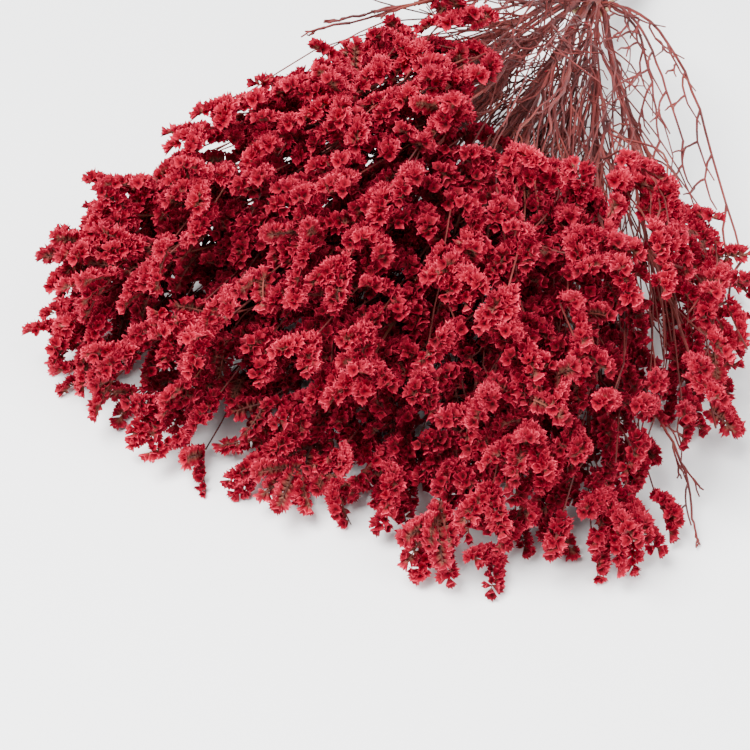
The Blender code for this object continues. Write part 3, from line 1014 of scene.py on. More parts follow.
@dataclass(frozen=True)
class BudShape:
    """A floret that never opened: a short tube under a narrow pointed tip."""

    foot_radius: float = 0.00038
    belly_radius: float = 0.00075
    belly_height: float = 0.0021
    tip_height: float = 0.0042
    tip_share: float = 0.42
    sides: int = 5

    def stamp(self) -> Stamp:
        """Models the bud.

        Returns:
            The finished shape, with its foot at the origin and its axis on Z.
        """
        Hand.clear_selection()
        bpy.ops.mesh.primitive_circle_add(vertices=self.sides, radius=self.foot_radius, fill_type="NGON")
        obj = bpy.context.object
        bpy.ops.object.mode_set(mode="EDIT")
        bpy.ops.mesh.select_all(action="SELECT")
        bpy.ops.mesh.extrude_region_move(TRANSFORM_OT_translate={"value": (0, 0, self.belly_height)})
        grow = self.belly_radius / self.foot_radius
        bpy.ops.transform.resize(value=(grow, grow, 1), center_override=(0, 0, self.belly_height))
        Hand.draw_to_point(self.tip_height - self.belly_height)
        return Stamp.finished(obj, lambda place: place.z / self.tip_height * self.tip_share)


@dataclass
class Stamps:
    """The shapes that are copied: ruffled florets for the outside, plain ones for inside, and a bud."""

    ruffled: list[Stamp]
    plain: list[Stamp]
    bud: Stamp

    @staticmethod
    def modelled() -> "Stamps":
        """Models every variant once.

        Returns:
            Six ruffled and four plain florets, most of them wide open, and the bud.
        """
        openings = [Opening.WIDE] * 3 + [Opening.HALF] * 2 + [Opening.NARROW]
        ruffled = [FloretShape().stamp(opening, number) for number, opening in enumerate(openings, 1)]
        inside = enumerate(openings[2:], len(openings) + 1)
        plain = [FloretShape(lobes=4).stamp(opening, number) for number, opening in inside]
        return Stamps(ruffled, plain, BudShape().stamp())


@dataclass
class Bouquet:
    """Copies of the small shapes gathered into one mesh, each with vertices of its own.

    A floret that would reach below the lowest height is pressed flat on the surface, each of its
    vertices at a height of its own, and one that would lie there wholly is left out.
    """

    lowest: float = 0.0004
    buried: float = 4.0
    press_spread: float = 0.3
    count: int = 0
    points: list[np.ndarray] = field(default_factory=list)
    triangles: list[np.ndarray] = field(default_factory=list)
    along: list[np.ndarray] = field(default_factory=list)
    tone_and_shade: list[np.ndarray] = field(default_factory=list)

    def add(
        self, stamp: Stamp, place: Vector, facing: Vector, turn: float, size: float, tone_and_shade: float
    ) -> None:
        """Adds a copy of a shape.

        Args:
            stamp: The shape.
            place: Where its foot goes.
            facing: Where its axis points.
            turn: Its turn about the axis, in radians.
            size: Its scale.
            tone_and_shade: Its tone, from 0 for dark to 1 for pale, lowered by painted shade for florets
                deep in the bunch.
        """
        turned = facing.to_track_quat("Z", "Y").to_matrix() @ Matrix.Rotation(turn, 3, "Z")
        points = stamp.points @ (np.array(turned).T * size) + np.array(place)
        if points[:, 2].max() < self.buried * self.lowest:
            return
        pressed = self.lowest * (1 + self.press_spread * np.arange(len(points)) / len(points))
        points[:, 2] = np.maximum(points[:, 2], pressed)
        self.points.append(points)
        self.triangles.append(stamp.triangles + self.count)
        self.along.append(stamp.along)
        self.tone_and_shade.append(np.full(len(points), tone_and_shade))
        self.count += len(points)

    def mesh(self, name: str) -> bpy.types.Mesh:
        """Makes the mesh.

        Args:
            name: The mesh's name.

        Returns:
            A mesh with the attributes along and tint on its points.
        """
        made = bpy.data.meshes.new(name)
        made.from_pydata(np.concatenate(self.points), [], np.concatenate(self.triangles))
        for label, values in (("along", self.along), ("tone_and_shade", self.tone_and_shade)):
            layer = made.attributes.new(label, "FLOAT", "POINT")
            layer.data.foreach_set("value", np.concatenate(values).astype(np.float32))
        made.update()
        return made


@dataclass(frozen=True)
class Tuft:
    """The true-size spikes that stand in the space of one CAD spike."""

    spread: tuple[tuple[float, float], ...] = ((3, 2), (38, 8), (-36, 10), (-4, 46))
    jitter: float = 9.0
    lengths: Span = (0.62, 0.88)
    curl: float = 0.19
    outward: float = 0.6
    unevenness: float = 0.25
    lift: float = 0.5
    foot: Span = (-0.05, 0.22)

    def members(self, spike: Spike, draw: random.Random) -> list[Spike]:
        """Splits a CAD spike into finer ones.

        Args:
            spike: The spike in the CAD model.
            draw: The seeded generator.

        Returns:
            The finer spikes, which fan out from its foot and face its way.
        """
        side = spike.side()
        found = []
        for swing, lift in self.spread:
            swing = math.radians(swing + draw.uniform(-self.jitter, self.jitter))
            lift = math.radians(lift + draw.uniform(-self.jitter, self.jitter))
            upright = spike.crest * math.sin(lift) + spike.along * math.cos(lift)
            along = (upright * math.cos(swing) + side * math.sin(swing)).normalized()
            outward = spike.crest + side * math.sin(swing) * self.outward
            outward += random_unit(draw) * self.unevenness
            outward.z += self.lift
            crest = square_to(outward, along)
            length = spike.length * draw.uniform(*self.lengths)
            base = spike.point(max(0.0, draw.uniform(*self.foot)))
            found.append(Spike(0.0, base, along, crest, length, length * self.curl))
        return found


@dataclass(frozen=True)
class SideSpikes:
    """Small spikes along a twig, between its fork and the spike at its end."""

    places: tuple[float, ...] = (0.72, 0.9)
    place_jitter: float = 0.07
    angle: Span = (32.0, 62.0)
    length: Span = (0.008, 0.014)
    curl: float = 0.2
    outward: float = 0.7
    ahead: float = 0.02
    lean: float = 0.2

    def members(self, ends: Sequence[Vector], crest: Vector, draw: random.Random) -> list[Spike]:
        """Places small spikes on a bend.

        Args:
            ends: The twig's bend.
            crest: The side on which most of them stand.
            draw: The seeded generator.

        Returns:
            The small spikes.
        """
        found = []
        for place in self.places:
            t = place + draw.uniform(-self.place_jitter, self.place_jitter)
            foot = cubic(ends, t)
            heading = (cubic(ends, t + self.ahead) - foot).normalized()
            off = square_to(crest * self.outward + random_unit(draw), heading)
            angle = math.radians(draw.uniform(*self.angle))
            along = heading * math.cos(angle) + off * math.sin(angle)
            length = draw.uniform(*self.length)
            facing = square_to(off + heading * self.lean, along)
            found.append(Spike(t, foot, along, facing, length, length * self.curl))
        return found


@dataclass(frozen=True)
class FloretRows:
    """How florets stand on a spike: in rows round its outer side, rim to rim, and one at its tip."""

    pitch: float = 0.0026
    fewest: int = 3
    first: float = 0.25
    stagger: float = 0.5
    jitter: float = 0.15
    rows: tuple[float, ...] = (-72.0, -24.0, 24.0, 72.0)
    row_jitter: float = 10.0
    fan: Span = (-30.0, 48.0)
    wobble: float = 0.24
    tip_lean: float = 0.3
    sizes: Span = (0.80, 1.12)
    bud_share: float = 0.05
    tip_buds: float = 0.3
    tip_from: float = 0.8
    own_shade: float = 0.5
    # Florets with more painted shade than this, deep in the bunch, are the plain shapes.
    plain_above: float = 0.55
    sink: float = 0.0002

    def stand(
        self, spike: Spike, painted_shade: float, stamps: Stamps, bouquet: Bouquet, draw: random.Random
    ) -> None:
        """Stands florets on one spike.

        Args:
            spike: The spike.
            painted_shade: How much painted shade darkens them, from 0 on the outside of the bunch to 1 deep
                inside.
            stamps: The shapes to copy.
            bouquet: What the florets are added to.
            draw: The seeded generator.
        """
        open_ones = stamps.plain if painted_shade > self.plain_above else stamps.ruffled
        steps = max(self.fewest, round(spike.length / self.pitch))
        shade = draw.random()
        for step in range(steps):
            for number, row in enumerate(self.rows):
                shift = self.first + self.stagger * (number % 2)
                t = (step + shift + draw.uniform(-self.jitter, self.jitter)) / steps
                heading = spike.heading(t)
                crest = square_to(spike.crest, heading)
                lean = math.radians(self.fan[0] + (self.fan[1] - self.fan[0]) * t)
                splay = math.radians(row + draw.uniform(-self.row_jitter, self.row_jitter))
                upright = crest * math.cos(lean) + heading * math.sin(lean)
                facing = upright * math.cos(splay) + heading.cross(crest) * math.sin(splay)
                facing = (facing + random_unit(draw) * self.wobble).normalized()
                is_bud = draw.random() < self.bud_share + self.tip_buds * max(0.0, t - self.tip_from)
                stamp = stamps.bud if is_bud else draw.choice(open_ones)
                # The floret's own tone, lowered by the painted shade of florets deep in the bunch.
                tone_and_shade = (1 - painted_shade) * ((1 - self.own_shade) * shade + self.own_shade * draw.random())
                size = draw.uniform(*self.sizes)
                place = spike.point(t) - facing * self.sink
                bouquet.add(stamp, place, facing, draw.uniform(0, 2 * math.pi), size, tone_and_shade)
        # The tip floret, with the same painted shade.
        facing = (spike.heading(1.0) + spike.crest * self.tip_lean).normalized()
        size = draw.uniform(*self.sizes)
        bouquet.add(open_ones[0], spike.point(1.0), facing, 0.0, size, (1 - painted_shade) * shade)


@dataclass
class Strand:
    """The centre line of one round stem with its radius at each point."""

    points: list[Vector]
    radii: list[float]


@dataclass(frozen=True)
class StemSweep:
    """Sweeps strands into one closed mesh."""

    sides: int = 5
    merge: float = 1e-6
    smooth_angle: float = 70.0

    def mesh_object(self, name: str, strands: Sequence[Strand]) -> bpy.types.Object:
        """Sweeps all strands.

        Args:
            name: The piece's name.
            strands: The centre lines.

        Returns:
            The mesh object.
        """
        section = self._section()
        curve = bpy.data.curves.new(name, "CURVE")
        curve.dimensions = "3D"
        curve.bevel_mode = "OBJECT"
        curve.bevel_object = section
        curve.use_fill_caps = True
        for strand in strands:
            spline = curve.splines.new("POLY")
            spline.points.add(len(strand.points) - 1)
            for point, place, radius in zip(spline.points, strand.points, strand.radii):
                point.co = (*place, 1)
                point.radius = radius
        Hand.take(linked(name, curve))
        bpy.ops.object.convert(target="MESH")
        obj = bpy.context.object
        bpy.ops.object.mode_set(mode="EDIT")
        bpy.ops.mesh.select_all(action="SELECT")
        bpy.ops.mesh.remove_doubles(threshold=self.merge)
        bpy.ops.mesh.normals_make_consistent(inside=False)
        bpy.ops.object.mode_set(mode="OBJECT")
        bpy.ops.object.shade_smooth_by_angle(angle=math.radians(self.smooth_angle))
        bpy.data.objects.remove(section)
        return obj

    def _section(self) -> bpy.types.Object:
        """Adds the regular polygon of radius 1 that the strands are swept with.

        Returns:
            The polygon's object, to be removed after the sweep.
        """
        curve = bpy.data.curves.new("section", "CURVE")
        curve.dimensions = "2D"
        spline = curve.splines.new("POLY")
        spline.points.add(self.sides - 1)
        spline.use_cyclic_u = True
        for k, point in enumerate(spline.points):
            turn = 2 * math.pi * k / self.sides
            point.co = (math.cos(turn), math.sin(turn), 0, 1)
        return linked("section", curve)


@dataclass(frozen=True)
class BareTwigs:
    """Fine kinked side branches without flowers, forked once, some with a withered scrap at the fork."""

    number: int = 13
    start: Span = (0.012, 0.12)
    length: Span = (0.04, 0.095)
    angle: Span = (3.0, 20.0)
    upward: float = 0.3
    radius: float = 0.00042
    tip_radius: float = 0.00024
    steps: int = 8
    zigzag: float = 0.0004
    bow: float = 0.16
    fork: Span = (0.45, 0.75)
    fork_angle: Span = (18.0, 38.0)
    fork_length: float = 0.03
    fork_thickness: float = 1.2
    clearance: float = 0.0015
    widest: float = 19.0
    scraps: float = 0.22
    scrap_sizes: Span = (0.5, 0.8)


@dataclass(frozen=True)
class BareBranch:
    """A branch that has lost its flowers: an arc with side twigs that fork on both hands."""

    spray: str
    bend: tuple[Spot, ...]
    twigs: int
    twig_length: float
    hands: tuple[int, ...] = (-1,)
    radius: float = 0.00078
    tip_radius: float = 0.00030
    end_thickness: float = 1.4
    twig_thickness: float = 0.75
    unevenness: float = 0.6
    steps: int = 16
    twig_steps: int = 6
    twig_places: Span = (0.12, 0.97)
    twig_lengths: Span = (0.6, 1.15)
    ahead: float = 0.05
    angle: Span = (16.0, 34.0)
    slant: float = 0.5
    droop: float = 0.75
    forks: tuple[float, ...] = (0.5,)
    fork_lengths: Span = (0.35, 0.6)
    fork_depth: int = 2

    def strands(self, tie: Vector, draw: random.Random) -> list[Strand]:
        """Walks the arc, its twigs and their forks.

        Args:
            tie: The middle of the tie, which the bend is measured from.
            draw: The seeded generator.

        Returns:
            One strand for each line.
        """
        ends = [tie + place_of(spot) for spot in self.bend]
        arc = cubic_points(ends, self.steps)
        for point in arc[1:-1]:
            point += random_unit(draw) * self.radius * self.unevenness
        found = [self._strand(arc, self.radius, self.end_thickness * self.tip_radius)]
        first, last = self.twig_places
        for number in range(self.twigs):
            t = first + (last - first) * number / (self.twigs - 1)
            foot = arc[round(t * self.steps)]
            ahead = (cubic(ends, min(1.0, t + self.ahead)) - cubic(ends, t - self.ahead)).normalized()
            length = self.twig_length * draw.uniform(*self.twig_lengths)
            hand = self.hands[number % len(self.hands)]
            found += self._twig(foot, ahead, hand, length, self.fork_depth, draw)
        return found

    def _twig(
        self, foot: Vector, ahead: Vector, hand: int, length: float, forks: int, draw: random.Random
    ) -> list[Strand]:
        """Walks a side twig that curls back along its branch, and the forks on it.

        Args:
            foot: Where it starts.
            ahead: The direction of its branch there.
            hand: The side on which it stands, 1 or -1.
            length: How long it is.
            forks: How many times it may fork.
            draw: The seeded generator.

        Returns:
            The twig's strand and those of its forks.
        """
        across = square_to(Vector((-ahead.y, ahead.x, draw.uniform(-self.slant, self.slant))), ahead) * hand
        angle = math.radians(draw.uniform(*self.angle))
        heading = ahead * math.cos(angle) + across * math.sin(angle)
        points = []
        for k in range(self.twig_steps + 1):
            t = k / self.twig_steps
            curl = (ahead - heading) * self.droop * t * t
            points.append(foot + (heading * t + curl) * length + random_unit(draw) * self.tip_radius)
        points[0] = foot
        found = [self._strand(points, self.twig_thickness * self.radius, self.tip_radius)]
        if forks > 0:
            for share in self.forks:
                at = points[round(share * self.twig_steps)]
                hand = draw.choice((-1, 1))
                shorter = length * draw.uniform(*self.fork_lengths)
                found += self._twig(at, heading, hand, shorter, forks - 1, draw)
        return found

    def _strand(self, points: list[Vector], first: float, last: float) -> Strand:
        """Makes a strand that tapers evenly and stays above the surface.

        Args:
            points: Its centre line, which is lifted where it is too low.
            first: The radius at its start.
            last: The radius at its end.

        Returns:
            The strand.
        """
        count = len(points) - 1
        for point in points:
            point.z = max(point.z, 2 * first)
        return Strand(points, [first + (last - first) * k / count for k in range(count + 1)])


BOTH_HANDS = (1, -1)
OUTLYING = (
    BareBranch("spray_11", ((40, 0, 0.010), (58, 22, 0.060), (34, 8, 0.130), (29, 5, 0.216)), 8, 0.045),
    BareBranch("spray_06", ((40, 0, 0.010), (50, 20, 0.040), (32, 12, 0.080), (27, 4, 0.128)), 5, 0.036),
    BareBranch("spray_15", ((30, 8, 0.010), (46, 26, 0.040), (31, 17, 0.090), (28, 9, 0.150)), 6, 0.040),
    BareBranch(
        spray="spray_05",
        bend=((19, -2, 0.230), (19, -2, 0.262), (23, -4, 0.272), (22, -5, 0.297)),
        twigs=7,
        twig_length=0.016,
        hands=BOTH_HANDS,
        radius=0.00056,
    ),
    BareBranch(
        spray="spray_16",
        bend=((-2, 26, 0.060), (0, 31, 0.130), (-7, 28, 0.190), (-12, 24, 0.217)),
        twigs=6,
        twig_length=0.020,
        hands=BOTH_HANDS,
    ),
    BareBranch(
        spray="spray_17",
        bend=((-3, 24, 0.070), (-2, 29, 0.140), (-9, 27, 0.190), (-11, 25, 0.214)),
        twigs=6,
        twig_length=0.018,
        hands=BOTH_HANDS,
    ),
)


@dataclass(frozen=True)
class MainStem:
    """A spray's main stem: it sags a little behind the tie, and sways and thins out in the head."""

    end_distance: float = 0.138
    end_stagger: float = 0.01
    end_flare: float = 1.9
    end_press: float = 0.0004
    end_bow: float = 0.15
    end_sag: float = 0.1
    side_sag: float = 0.2
    tie_run: float = 0.005
    steps: int = 22
    taper: float = 0.5
    taper_length: float = 0.05
    unevenness: Span = (0.94, 1.08)
    wobble: float = 0.0005
    wobble_from: float = 0.08

    def drop(self, plan: BunchPlan, sprays: Sequence[Spray]) -> float:
        """Finds how much lower than the tie the cut ends lie.

        Args:
            plan: The rule of the bunch.
            sprays: The sprays.

        Returns:
            The drop at which the lowest ends rest on the surface.
        """
        lowest = self.end_flare * min(spray.at_tie.z for spray in sprays)
        return plan.tie.z + lowest - plan.stems.radius + self.end_press

    def behind_tie(self, spray: Spray, drop: float, stagger: float) -> list[Vector]:
        """Walks the stem from its cut end to the tie.

        Args:
            spray: The spray.
            drop: How much lower than the tie its end lies.
            stagger: How much further back than the others it ends.

        Returns:
            The points up to the far side of the tie.
        """
        end = spray.tie + spray.at_tie * self.end_flare
        end += Vector((0, self.end_distance + stagger, -drop))
        start = spray.tie + spray.at_tie
        sag = Vector((0, 0, drop * self.end_sag))
        middle = (end + start) / 2 + sag + spray.at_tie * self.end_bow
        beside, run = sag * self.side_sag, Vector((0, self.tie_run, 0))
        points = [end, (end + middle) / 2 + beside, middle, (middle + start) / 2 + beside]
        return [*points, start + run, start - run]

    def strand(self, spray: Spray, radius: float, behind: list[Vector], draw: random.Random) -> Strand:
        """Walks the whole stem.

        Args:
            spray: The spray.
            radius: Its radius in the tie.
            behind: Its points behind the tie.
            draw: The seeded generator.

        Returns:
            Its strand, from the cut end through the tie to the end spike.
        """
        points = list(behind)
        radii = [radius] * len(points)
        last = spray.spikes[0].leaves
        for k in range(1, self.steps + 1):
            distance = last * k / self.steps
            if distance < 2 * self.tie_run:
                continue
            shift = random_unit(draw) * self.wobble * min(1.0, distance / self.wobble_from)
            points.append(spray.leader_point(distance) + shift)
            thin = 1 - (1 - self.taper) * min(1.0, distance / self.taper_length)
            radii.append(radius * thin * draw.uniform(*self.unevenness))
        return Strand(points, radii)


@dataclass
class SprayBuilder:
    """One spray as two pieces: its stems, and its flowers."""

    plan: BunchPlan
    spray: Spray
    behind_tie: list[Vector]
    fillers: list[Spike]
    draw: random.Random
    main_stem: MainStem = MainStem()
    tuft: Tuft = Tuft()
    small_tuft: Tuft = Tuft(spread=((-24, 10), (26, 16)), lengths=(0.7, 1.0))
    side_spikes: SideSpikes = SideSpikes()
    rows: FloretRows = FloretRows()
    bare: BareTwigs = BareTwigs()
    sweep: StemSweep = StemSweep()
    twig_steps: int = 9
    stalk_steps: int = 3
    twig_radii: Span = (0.00050, 0.00036)
    fine_twig_radii: Span = (0.00040, 0.00027)
    stalk_radii: Span = (0.00034, 0.00018)
    unevenness: Span = (0.92, 1.1)
    kink: float = 0.0004
    lift: float = 1.5
    ceiling: float = 0.134
    scraps: list[tuple[Vector, Vector]] = field(default_factory=list)

    def strands(self, fine: Sequence[Spike]) -> list[Strand]:
        """Lists all centre lines of the spray.

        Args:
            fine: The true-size spikes, whose stalks are strands too.

        Returns:
            The main stem, the twigs, the stalks and the bare twigs.
        """
        stem_radius = self.plan.stems.radius
        found = [self.main_stem.strand(self.spray, stem_radius, self.behind_tie, self.draw)]
        for spike in self.spray.spikes:
            points = self.spray.twig_points(spike, self.twig_steps)
            found.append(self._tapered(points, self.twig_radii))
        for spike in self.fillers:
            points = self._kinked(self.spray.twig_points(spike, self.twig_steps + 1))
            found.append(self._tapered(points, self.fine_twig_radii))
        for spike in fine:
            points = [spike.point(k / self.stalk_steps) for k in range(self.stalk_steps + 1)]
            found.append(self._tapered(points, self.stalk_radii))
        found += self._bare_twigs()
        for branch in OUTLYING:
            if branch.spray == self.spray.name:
                found += branch.strands(self.spray.tie, self.draw)
        return found

    def _tapered(self, points: list[Vector], taper: Span) -> Strand:
        """Makes a slightly uneven strand.

        Args:
            points: Its centre line, which is kept between the surface and the ceiling.
            taper: The radius at its start and at its end.

        Returns:
            The strand.
        """
        first, last = taper
        radii = []
        for k, point in enumerate(points):
            even = first + (last - first) * k / (len(points) - 1)
            radii.append(even * self.draw.uniform(*self.unevenness))
            point.z = min(self.ceiling, max(point.z, self.lift * first))
        return Strand(points, radii)

    def _kinked(self, points: list[Vector]) -> list[Vector]:
        """Moves the inner points of a line a little to and fro, and none under the surface.

        Args:
            points: The smooth line, whose points are moved.

        Returns:
            The same points.
        """
        side = square_to(random_unit(self.draw), (points[-1] - points[0]).normalized())
        for k, point in enumerate(points[1:-1], 1):
            point += side * self.kink * (-1) ** k + random_unit(self.draw) * self.kink
        for point in points:
            point.z = max(point.z, self.bare.clearance)
        return points

    def _bare_twigs(self) -> list[Strand]:
        """Makes the fine side branches that carry no flowers, and notes the scraps at their forks.

        Returns:
            Their strands.
        """
        found = []
        bare, draw = self.bare, self.draw
        for _ in range(bare.number):
            distance = draw.uniform(*bare.start)
            foot = self.spray.leader_point(distance)
            off = square_to(random_unit(draw) + Vector((0, 0, bare.upward)), self.spray.heading)
            angle = math.radians(draw.uniform(*bare.angle))
            heading = self.spray.heading * math.cos(angle) + off * math.sin(angle)
            branch = self._zigzag(foot, heading, draw.uniform(*bare.length))
            if abs(angles(branch[-1] - self.spray.tie)[0]) > bare.widest:
                continue
            found.append(self._tapered(branch, (bare.radius, bare.tip_radius)))
            at = branch[round(len(branch) * draw.uniform(*bare.fork))]
            turn = math.radians(draw.uniform(*bare.fork_angle))
            side = square_to(random_unit(draw), heading)
            aside = heading * math.cos(turn) + side * math.sin(turn)
            fork = self._zigzag(at, aside, bare.fork_length)
            found.append(self._tapered(fork, (bare.tip_radius * bare.fork_thickness, bare.tip_radius)))
            if draw.random() < bare.scraps:
                self.scraps.append((at, side))
        return found

    def _zigzag(self, foot: Vector, heading: Vector, length: float) -> list[Vector]:
        """Walks a kinked line from the foot.

        Args:
            foot: Where it starts.
            heading: Where it points.
            length: How long it is.

        Returns:
            Its points, kept above the surface.
        """
        side = square_to(random_unit(self.draw), heading)
        points = []
        for k in range(self.bare.steps + 1):
            t = k / self.bare.steps
            kink = side * self.bare.zigzag * (k % 2) * min(1.0, k / 2)
            bow = side * self.bare.bow * length * 4 * t * (t - 1)
            point = foot + heading * length * t + kink + bow
            point.z = max(point.z, self.bare.clearance)
            points.append(point)
        return points

    def fine_spikes(self) -> list[Spike]:
        """Lists the true-size spikes of the spray.

        Returns:
            The members of each tuft and the small side spikes.
        """
        found = []
        for spike in self.spray.spikes:
            found += self.tuft.members(spike, self.draw)
            found += self.side_spikes.members(self.spray.twig_ends(spike), spike.crest, self.draw)
        for spike in self.fillers:
            found += self.small_tuft.members(spike, self.draw)
        placing, tie = self.plan.fillers, self.spray.tie
        return [s for s in found if not placing.is_missing(spot_of(s.base - tie), self.draw)]

    def build(self, stamps: Stamps, petals: bpy.types.Material, bark: bpy.types.Material) -> int:
        """Builds both pieces and puts them on the frame.

        Args:
            stamps: The shapes to copy.
            petals: The finish of the flowers.
            bark: The finish of the stems.

        Returns:
            The number of florets.
        """
        fine = self.fine_spikes()
        stems = self.sweep.mesh_object(f"{self.spray.name}_stems", self.strands(fine))
        stems.data.materials.append(bark)
        bouquet = Bouquet()
        for spike in fine:
            middle = spike.point(0.5)
            # Painted shade: florets deep in the bunch and low near the surface are made darker by their
            # depth in the head.
            painted_shade = HEAD.painted_shade_at(spot_of(middle - self.spray.tie), middle.z)
            self.rows.stand(spike, painted_shade, stamps, bouquet, self.draw)
        for place, facing in self.scraps:
            size = self.draw.uniform(*self.bare.scrap_sizes)
            bouquet.add(stamps.bud, place, facing, 0.0, size, self.draw.random())
        name = f"{self.spray.name}_flowers"
        flowers = linked(name, bouquet.mesh(name))
        flowers.data.materials.append(petals)
        for piece, slot in ((stems, "stems"), (flowers, "florets")):
            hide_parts(self.spray.name)
            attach(piece, "root")
        return len(bouquet.points)


@dataclass(frozen=True)
class TwineTie:
    """Three turns of three-ply twine round the stems, with a knot on top and two tails."""

    cord_radius: float = 0.0011
    turns: int = 3
    pitch: float = 1.7
    knot_radius: float = 0.0026
    tail_length: float = 0.022
    tail_rise: float = 0.28
    tail_fall: float = 0.42
    tail_slant: float = 0.35
    loop: tuple[float, float, float] = (0.35, 0.75, 0.42)
    loop_turn: float = 270.0
    loop_steps: int = 16
    plies: int = 3
    ply_share: float = 0.56
    twist_length: float = 0.0052
    twist_start: tuple[float, float, float] = (0.05, 1.0, 0.08)
    step: float = 0.0007
    sweep: StemSweep = StemSweep(sides=7)

    def build(
        self, plan: BunchPlan, sprays: Sequence[Spray], finish: bpy.types.Material
    ) -> bpy.types.Object:
        """Builds the tie and puts it on the frame.

        Args:
            plan: The rule of the bunch.
            sprays: The sprays that it holds.
            finish: The finish of the twine.

        Returns:
            The tie's object.
        """
        bundle = max(spray.at_tie.length for spray in sprays) + plan.stems.radius
        radius = bundle + plan.stems.gap + self.cord_radius
        strands = self._plied(self._turns(plan.tie, radius))
        knot = plan.tie + Vector((0, 0, radius + self.cord_radius))
        for hand in (-1, 1):
            strands += self._plied(self._tail(knot, hand))
            strands += self._plied(self._loop(knot, hand))
        tie = self.sweep.mesh_object("twine_tie", strands)
        tie.data.materials.append(finish)
        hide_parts("tie")
        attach(tie, "root")
        return tie

    def _turns(self, middle: Vector, radius: float) -> list[Vector]:
        """Walks the coil round the stems.

        Args:
            middle: The middle of the tie.
            radius: The coil's radius.

        Returns:
            The points of its centre line.
        """
        spacing = self.cord_radius * self.pitch
        count = round(self.turns * 2 * math.pi * radius / self.step)
        points = []
        for k in range(count + 1):
            share = k / count
            angle = math.pi / 2 + 2 * math.pi * self.turns * share
            y = (share - 0.5) * self.turns * spacing
            points.append(middle + Vector((radius * math.cos(angle), y, radius * math.sin(angle))))
        return points

    def _tail(self, knot: Vector, hand: int) -> list[Vector]:
        """Walks one loose end of the twine.

        Args:
            knot: The middle of the knot.
            hand: The side on which it lies, 1 or -1.

        Returns:
            The points of its centre line.
        """
        count = round(self.tail_length / self.step)
        points = []
        for t in (k / count for k in range(count + 1)):
            rise = self.tail_rise * t - self.tail_fall * t * t
            points.append(knot + Vector((hand * t, self.tail_slant * t, rise)) * self.tail_length)
        return points

    def _loop(self, knot: Vector, hand: int) -> list[Vector]:
        """Walks the small bend of twine that forms half of the knot.

        Args:
            knot: The middle of the knot.
            hand: The side on which it lies, 1 or -1.

        Returns:
            The points of its centre line.
        """
        wide, long, high = self.loop
        points = []
        for k in range(self.loop_steps + 1):
            angle = math.radians(self.loop_turn) * k / self.loop_steps
            place = Vector((hand * wide * math.cos(angle), long * math.sin(angle), high * math.cos(angle)))
            points.append(knot + place * self.knot_radius)
        return points

    def _plied(self, path: Sequence[Vector]) -> list[Strand]:
        """Twists the plies round a path.

        Args:
            path: The cord's centre line.

        Returns:
            One strand for each ply.
        """
        thick = self.cord_radius * self.ply_share
        offset = self.cord_radius - thick
        strands = []
        for ply in range(self.plies):
            points = []
            walked = 0.0
            for k, place in enumerate(path):
                heading = (path[min(k + 1, len(path) - 1)] - path[max(k - 1, 0)]).normalized()
                up = square_to(Vector(self.twist_start), heading)
                side = heading.cross(up)
                turn = 2 * math.pi * (walked / self.twist_length + ply / self.plies)
                points.append(place + (up * math.cos(turn) + side * math.sin(turn)) * offset)
                if k + 1 < len(path):
                    walked += (path[k + 1] - place).length
            strands.append(Strand(points, [thick] * len(points)))
        return strands


Socket = bpy.types.NodeSocket


class NodeDesk:
    """Short ways to add and join shader nodes in one tree."""

    def __init__(self, tree: bpy.types.NodeTree) -> None:
        """Takes the tree to work in."""
        self.tree = tree

    def add(self, kind: str, **values: object) -> bpy.types.Node:
        """Adds a node.

        Args:
            kind: The node's type name.
            values: Its settings.

        Returns:
            The node.
        """
        node = self.tree.nodes.new(kind)
        for name, value in values.items():
            setattr(node, name, value)
        return node

    def join(self, source: Socket, target: Socket) -> None:
        """Links an output to an input."""
        self.tree.links.new(source, target)

    def ramp(self, value: Socket, stops: Stops) -> Socket:
        """Colours a value.

        Args:
            value: The socket to colour.
            stops: Positions with their colours.

        Returns:
            The colour output.
        """
        node = self.add("ShaderNodeValToRGB")
        elements = node.color_ramp.elements
        while len(elements) < len(stops):
            elements.new(0.5)
        for element, (position, colour) in zip(elements, stops):
            element.position = position
            element.color = (*colour, 1.0)
        self.join(value, node.inputs["Fac"])
        return node.outputs["Color"]

    def mix(self, share: Socket, first: Socket, second: Socket) -> Socket:
        """Mixes two colours.

        Args:
            share: The share of the second.
            first: The first colour.
            second: The second colour.

        Returns:
            The mixed colour.
        """
        node = self.add("ShaderNodeMix", data_type="RGBA")
        self.join(share, node.inputs["Factor"])
        for source, name in ((first, "A"), (second, "B")):
            target = next(i for i in node.inputs if i.name == name and i.type == "RGBA")
            self.join(source, target)
        return next(o for o in node.outputs if o.type == "RGBA")


class DryTexture:
    """The shared effect of dried plant and fibre: mottled tone and a fine uneven surface."""

    @staticmethod
    def group() -> bpy.types.NodeTree:
        """Builds the node group once.

        Returns:
            The group, with Place, Scale and Streak in, and Mottle and Height out.
        """
        found = bpy.data.node_groups.get("dry_texture")
        if found is not None:
            return found
        tree = bpy.data.node_groups.new("dry_texture", "ShaderNodeTree")
        tree.interface.new_socket("Place", in_out="INPUT", socket_type="NodeSocketVector")
        for way, names in (("INPUT", ("Scale", "Streak")), ("OUTPUT", ("Mottle", "Height"))):
            for name in names:
                tree.interface.new_socket(name, in_out=way, socket_type="NodeSocketFloat")
        desk = NodeDesk(tree)
        inside = desk.add("NodeGroupInput")
        outside = desk.add("NodeGroupOutput")
        for scale, detail, result in (("Scale", 3.0, "Mottle"), ("Streak", 2.0, "Height")):
            noise = desk.add("ShaderNodeTexNoise")
            noise.inputs["Detail"].default_value = detail
            desk.join(inside.outputs["Place"], noise.inputs["Vector"])
            desk.join(inside.outputs[scale], noise.inputs["Scale"])
            desk.join(noise.outputs["Fac"], outside.inputs[result])
        return tree


